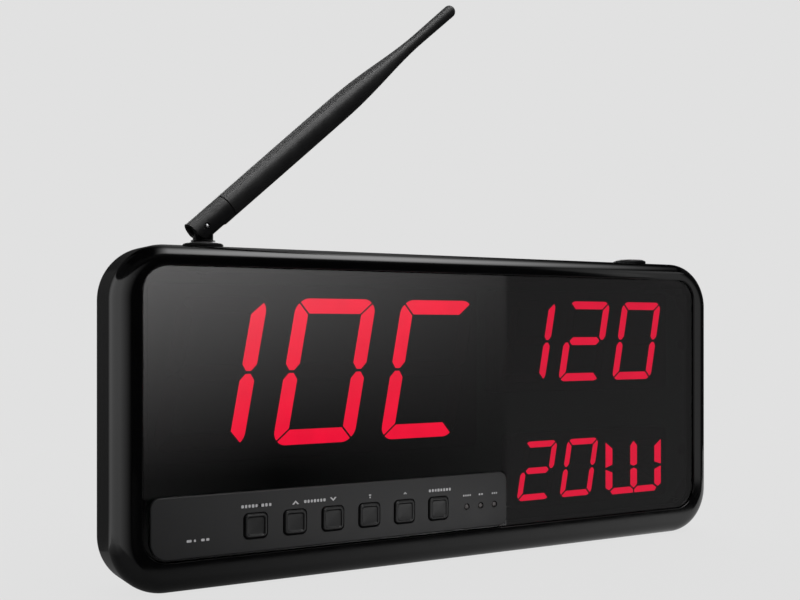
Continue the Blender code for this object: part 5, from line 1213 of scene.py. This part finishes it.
def aerial_whip():
    """From its spigot: a slight belly, a long eased taper, a narrow end and a round tip."""
    foot = SLEEVE_LENGTH + GAP
    edge = 0.4
    profile = [(SPIGOT_RADIUS, foot - SPIGOT_LENGTH), (SPIGOT_RADIUS, foot), (WHIP_RADIUS - 0.35, foot)]
    profile += [(WHIP_RADIUS - 0.1, foot + 0.1), (WHIP_RADIUS, foot + edge)]
    for share in spaced(0, 1, 9)[1:-1]:
        radius = WHIP_RADIUS + (WHIP_BELLY - WHIP_RADIUS) * sin(pi / 2 * share)
        profile.append((radius, foot + edge + (WHIP_BELLY_AT - foot) * share))
    for share in spaced(0, 1, 24):
        fall = (1 - cos(pi * share**WHIP_FALL)) / 2
        height = WHIP_BELLY_AT + (WHIP_NARROW_AT - WHIP_BELLY_AT) * share
        profile.append((WHIP_BELLY + (WHIP_NARROW - WHIP_BELLY) * fall, height))
    for share in spaced(0, 1, 6)[1:-1]:
        height = WHIP_NARROW_AT + (WHIP_LENGTH - WHIP_TIP - WHIP_NARROW_AT) * share
        profile.append((WHIP_NARROW + (WHIP_TIP - WHIP_NARROW) * share, height))
    profile += [(WHIP_TIP * c, WHIP_LENGTH - WHIP_TIP * (1 - s)) for s, c in quarter_turn(10)[:-1]]
    profile.append((WHIP_TIP * 0.04, WHIP_LENGTH))
    made = spun("whip", profile, about_hinge, "aerial_rubber", 64, smooth=50)
    seat(leaned(made), "aerial_arm", "aerial_rubber", "aerial_whip")


# ---- finishes of the other nodes
def node_finishes():
    for made in frame["nodes"].values():
        for slot in made.material_slots:
            slot.material = LOOKS[slot.material.name]


# ---- stage, light and camera, in metres
BACKGROUND = 0.753
ROOM = 0.45
DARK_ROOM = 0.03  # what gloss mirrors where no sheet of light stands
FLOOR_SIDE = 30.0  # half of it
SHADOW_SPAN = (0.15, 0.60)  # where the shadow starts to fade into the background, and where it has
CASE = ["housing_shell"]
FRONT_PIECES = ["smoked_window", "plate_panel", "plate_marks"]
FRONT_PIECES += [f"key_cap_{n}" for n in range(1, 7)] + [f"indicator_lens_{n}" for n in range(1, 4)]
AERIAL_PIECES = ["whip", "fork_sleeve", "swivel_neck", "bushing", "hole_plug"]
ON_FLOOR = 0.0006
UNDER_THAT = 0.0004
CHIN_REACH = -0.068  # how far the case's chin mirrors the floor ahead of it
GLARE_PLANE = -0.28
GLARE_SPAN = (-0.082, 0.217, 0.43)  # left end, start of the plain wall, right end
GLARE_TOP = 0.17
GLARE_FOOT = 0.012  # where the light starts to grow
GLARE_RISE = 0.146  # and over what height it does
MIRRORED_EYE = (-0.297, 0.4428)  # the camera's place mirrored in the window
WALL_LEVEL = 0.44
STRIP_CENTRE = (0.155, 0.01)  # of the strip at the right; the one at the left is at minus x
STRIP_RADIUS = 0.22
STRIP_TOP = (0.25, 0.26)
OVERHEAD = 0.6
OVERHEAD_LEVEL = 4.4
UPPER_WALL_STARTS = (0.47, 0.82)  # the left ends of its near and far edges
UPPER_WALL_LENGTH = 0.8
UPPER_WALL_LEVEL = 0.65
AERIAL_SHEET_HEIGHT = 0.62
AERIAL_LEVEL = 38.0


def plain(tree, kind, grey):
    return add(tree, kind, Color=(grey, grey, grey, 1))


def room_mix(tree, shade, dim, seen):
    """What a ray meets: shade for soft light, dim for gloss, and seen for the camera."""
    path = add(tree, "LightPath")
    mirrored_room = shader_mix(tree, path.outputs["Is Glossy Ray"], shade, dim)
    return shader_mix(tree, path.outputs["Is Camera Ray"], mirrored_room, seen)


def pale_floor():
    """A pale floor: the camera sees the background's tone with the object's soft shadow near it."""
    LOOKS["floor"] = bpy.data.materials.new("pale floor")
    tree, shader = nodes_of(LOOKS["floor"])
    put(shader, Roughness=0.9, **{"Base Color": (0.5, 0.5, 0.5, 1)})
    reach = add(tree, "VectorMath", operation="LENGTH")
    tree.links.new(add(tree, "TexCoord").outputs["Object"], reach.inputs[0])
    bare = ranged(tree, reach.outputs["Value"], 0.96, 1.0, *SHADOW_SPAN)
    seen = shader_mix(tree, bare, shader, plain(tree, "Emission", BACKGROUND))
    show(tree, room_mix(tree, shader, plain(tree, "Emission", DARK_ROOM), seen))
    bm = bmesh.new()
    bm.faces.new([bm.verts.new((x, y, 0)) for x, y in box_outline((0, 0), FLOOR_SIDE, FLOOR_SIDE)])
    piece("floor", bm, ["floor"], 0)


def world():
    """Soft even room light; the case's gloss mirrors a darker room, and the camera sees the pale backdrop."""
    made = bpy.data.worlds.new("room")
    bpy.context.scene.world = made
    made.use_nodes = True
    tree = made.node_tree
    shade = put(tree.nodes["Background"], Color=(ROOM, ROOM, ROOM, 1))
    dim, seen = (plain(tree, "Background", grey) for grey in (DARK_ROOM, BACKGROUND))
    show(tree, room_mix(tree, shade, dim, seen), "World Output")


def sheet_look():
    """Light with its strength written on each point of the sheet."""
    LOOKS["sheet"] = bpy.data.materials.new("sheet of light")
    tree, _ = nodes_of(LOOKS["sheet"])
    glow = add(tree, "Emission")
    strength = add(tree, "Attribute", attribute_name="glow")
    tree.links.new(strength.outputs["Fac"], glow.inputs["Strength"])
    show(tree, glow)


def restrict(lamp, names, state="INCLUDE"):
    """Keeps a light to the named pieces, or away from them."""
    group = bpy.data.collections.new(lamp.name + " lights")
    for name in names:
        group.objects.link(bpy.data.objects[name])
    for entry in group.collection_objects:
        entry.light_linking.link_state = state
    lamp.light_linking.receiver_collection = group


def sheet(name, columns, names):
    """Light that shows only in the gloss of the named pieces; a column is a list of (x, y, z, strength)."""
    bm = bmesh.new()
    rows = [[bm.verts.new(point[:3]) for point in column] for column in columns]
    for left, right in zip(rows, rows[1:]):
        for n in range(len(left) - 1):
            bm.faces.new((left[n], right[n], right[n + 1], left[n + 1]))
    made = piece(name, bm, ["sheet"], 0)
    glow = made.data.attributes.new("glow", "FLOAT", "POINT")
    glow.data.foreach_set("value", [point[3] for column in columns for point in column])
    for ray in ("camera", "diffuse", "shadow", "transmission"):
        setattr(made, "visible_" + ray, False)
    restrict(made, names)


def level_sheet(name, xs, ys, height, strength, names):
    sheet(name, [[(x, y, height, strength(x, y)) for y in ys] for x in xs], names)


def held(value):
    return min(1, max(0, value))


def fade(value, start, end):
    """From 0 at the start to 1 at the end, eased."""
    share = held((value - start) / (end - start))
    return share * share * (3 - 2 * share)


def footprint(x, y):
    """Where the line from the mirrored eye to the window sheet's foot at x crosses the floor at y."""
    eye_x, eye_y = MIRRORED_EYE
    return eye_x + (x - eye_x) * (eye_y - y) / (eye_y - GLARE_PLANE)


def window_sheets():
    """Ahead of the window: bright at its upper left, fading right and down, and a plain dim wall beyond."""
    left, middle, right = GLARE_SPAN
    columns = []
    for x in spaced(left, middle, 20):
        share = (x - left) / (middle - left)
        top = 4.4 - 4.7 * share + 1.3 * share**2
        foot = 0.22 * max(0, 1 - share / 0.35) + 0.30 * max(0, (share - 0.35) / 0.65)
        ahead = 1.9 * fade(share, -0.2, 1.0)
        column = []
        for y in spaced(CHIN_REACH, GLARE_PLANE, 6):
            column.append((footprint(x, y), y, ON_FLOOR, ahead * fade(y, GLARE_PLANE, -0.10)))
        for z in spaced(0.001, GLARE_TOP, 16):
            rise = held((z - GLARE_FOOT) / GLARE_RISE)
            column.append((x, GLARE_PLANE, z, top * rise * (0.45 + 0.55 * rise) + foot * (1 - rise)))
        columns.append(column)
    sheet("studio_window", columns, FRONT_PIECES)
    columns = []
    for x in spaced(middle, right, 4):
        points = [(footprint(x, y), y, ON_FLOOR) for y in (CHIN_REACH, GLARE_PLANE)]
        columns.append([(*point, WALL_LEVEL) for point in points + [(x, GLARE_PLANE, GLARE_TOP)]])
    sheet("studio_wall", columns, FRONT_PIECES)


def round_case(side, bearing, radius):
    """A place at a bearing from the case's end on that side: 0 degrees is ahead, and 90 is to the right."""
    x, y = STRIP_CENTRE
    return side * x + radius * sin(radians(bearing)), y - radius * cos(radians(bearing))


def side_strips():
    """A bright strip round the case's left end, with its share of the floor, and a dim one at the right."""
    columns = []
    for bearing in spaced(-172, 10, 60):
        level = (0.055 + 1.02 * fade(bearing, -156, -110)) * held((6 - bearing) / 60)
        near, far = (round_case(-1, bearing, reach) for reach in (0.05, STRIP_RADIUS))
        column = [(*place, UNDER_THAT, level * 0.8) for place in (near, far)]
        column += [(*far, z, level * (0.8 + 0.2 * fade(z, 0, 0.15))) for z in spaced(0.001, STRIP_TOP[0], 6)]
        columns.append(column)
    sheet("left_strip", columns, CASE)
    columns = []
    for bearing in spaced(33, 84, 17):
        level = 0.015 + 0.42 * (1 - fade(bearing, 40, 60))
        columns.append([(*round_case(1, bearing, STRIP_RADIUS), z, level) for z in (0.001, STRIP_TOP[1])])
    sheet("right_strip", columns, CASE + FRONT_PIECES)


def overhead(x, y):
    along = fade(x, -0.14, 0.09) * (1 - fade(x, 0.18, 0.62))
    across = fade(y, -0.37, -0.19) * (0.07 + 0.95 * (1 - fade(y, -0.10, 0.18)))
    return OVERHEAD_LEVEL * along * across


def ahead_of_chin(x, y):
    level = max(0, 0.05 + 0.98 * (x + 0.2) / 0.5) + 0.75 * (1 - fade(x, -0.30, -0.17))
    # dimmer by 30 per cent nearest the case: a painted shadow of the case on the floor, as its chin's gloss
    # mirrors it
    return level * (1 - 0.3 * fade(y, -0.034, -0.010))


def above_aerial(x, y):
    return AERIAL_LEVEL * fade(x, -0.37, -0.04) * fade(y, -0.22, 0.0)


def case_sheets():
    """Round the case: strips at its sides, overhead and on the floor ahead, and a wall far to the right."""
    side_strips()
    level_sheet("top_strip", spaced(-0.30, 0.75, 42), spaced(-0.32, 0.76, 36), OVERHEAD, overhead, CASE)
    xs, ys = spaced(-0.30, 0.60, 18), spaced(CHIN_REACH, 0.06, 16)
    level_sheet("floor_strip", xs, ys, ON_FLOOR, ahead_of_chin, CASE)
    columns = []
    for share in spaced(0, 1, 4):
        near, far = (start + UPPER_WALL_LENGTH * share for start in UPPER_WALL_STARTS)
        level = UPPER_WALL_LEVEL * (0.35 + 0.65 * fade(share, 0, 0.25))
        places = ((near, -0.33, OVERHEAD), (far, -1.0, OVERHEAD), (far, -1.0, 0.03))
        columns.append([(*place, level) for place in places])
    sheet("upper_wall", columns, CASE)


def aerial_sheets():
    """Over the aerial, and in front of its hinge pin."""
    xs, ys = spaced(-0.50, 0.02, 8), spaced(-0.26, 0.24, 8)
    level_sheet("aerial_strip", xs, ys, AERIAL_SHEET_HEIGHT, above_aerial, AERIAL_PIECES)
    sheet("pin_strip", [[(x, -0.42, z, 1.0) for z in (0.0, 0.5)] for x in (-0.35, 0.45)], ["fork_pin"])


def soft_light(name, place, target, size, power):
    """An area lamp for all but the gloss case, which the sheets of light serve."""
    data = bpy.data.lights.new(name, "AREA")
    data.shape = "RECTANGLE"
    data.size, data.size_y = size
    data.energy = power
    made = bpy.data.objects.new(name, data)
    made.location = place
    made.rotation_euler = (Vector(target) - Vector(place)).to_track_quat("-Z", "Y").to_euler()
    bpy.context.scene.collection.objects.link(made)
    restrict(made, CASE, "EXCLUDE")


def camera():
    data = bpy.data.cameras.new("camera")
    data.lens = 50
    data.sensor_width = 36
    data.shift_x = -0.0083
    data.shift_y = 0.0379
    data.clip_end = 200
    made = bpy.data.objects.new("camera", data)
    made.location = (-0.2970, -0.47535, 0.1130)
    made.rotation_euler = (radians(90), 0, radians(-30.287))
    bpy.context.scene.collection.objects.link(made)
    bpy.context.scene.camera = made


front_housing()
rear_cover()
smoked_window()
control_plate()
plate_marks()
for number, key_x in enumerate(KEY_XS, 1):
    push_key(number, key_x)
for number, indicator_x in enumerate(INDICATOR_XS, 1):
    indicator(number, indicator_x)
readouts()
screws()
power_inlet()
inlet_nut()
switch_knob()
aerial_bushing()
blanking_plug()
swivel_neck()
aerial_sleeve()
hinge_pin()
aerial_whip()
node_finishes()
pale_floor()
world()
sheet_look()
window_sheets()
case_sheets()
aerial_sheets()
soft_light("top softbox", (0.35, -0.25, 1.20), (0, 0, 0.1), (1.8, 0.5), 12.5)
soft_light("back softbox", (0.35, 1.20, 0.75), (0, 0, 0.08), (1.6, 1.0), 16)
camera()
bpy.context.scene.view_settings.view_transform = "Standard"
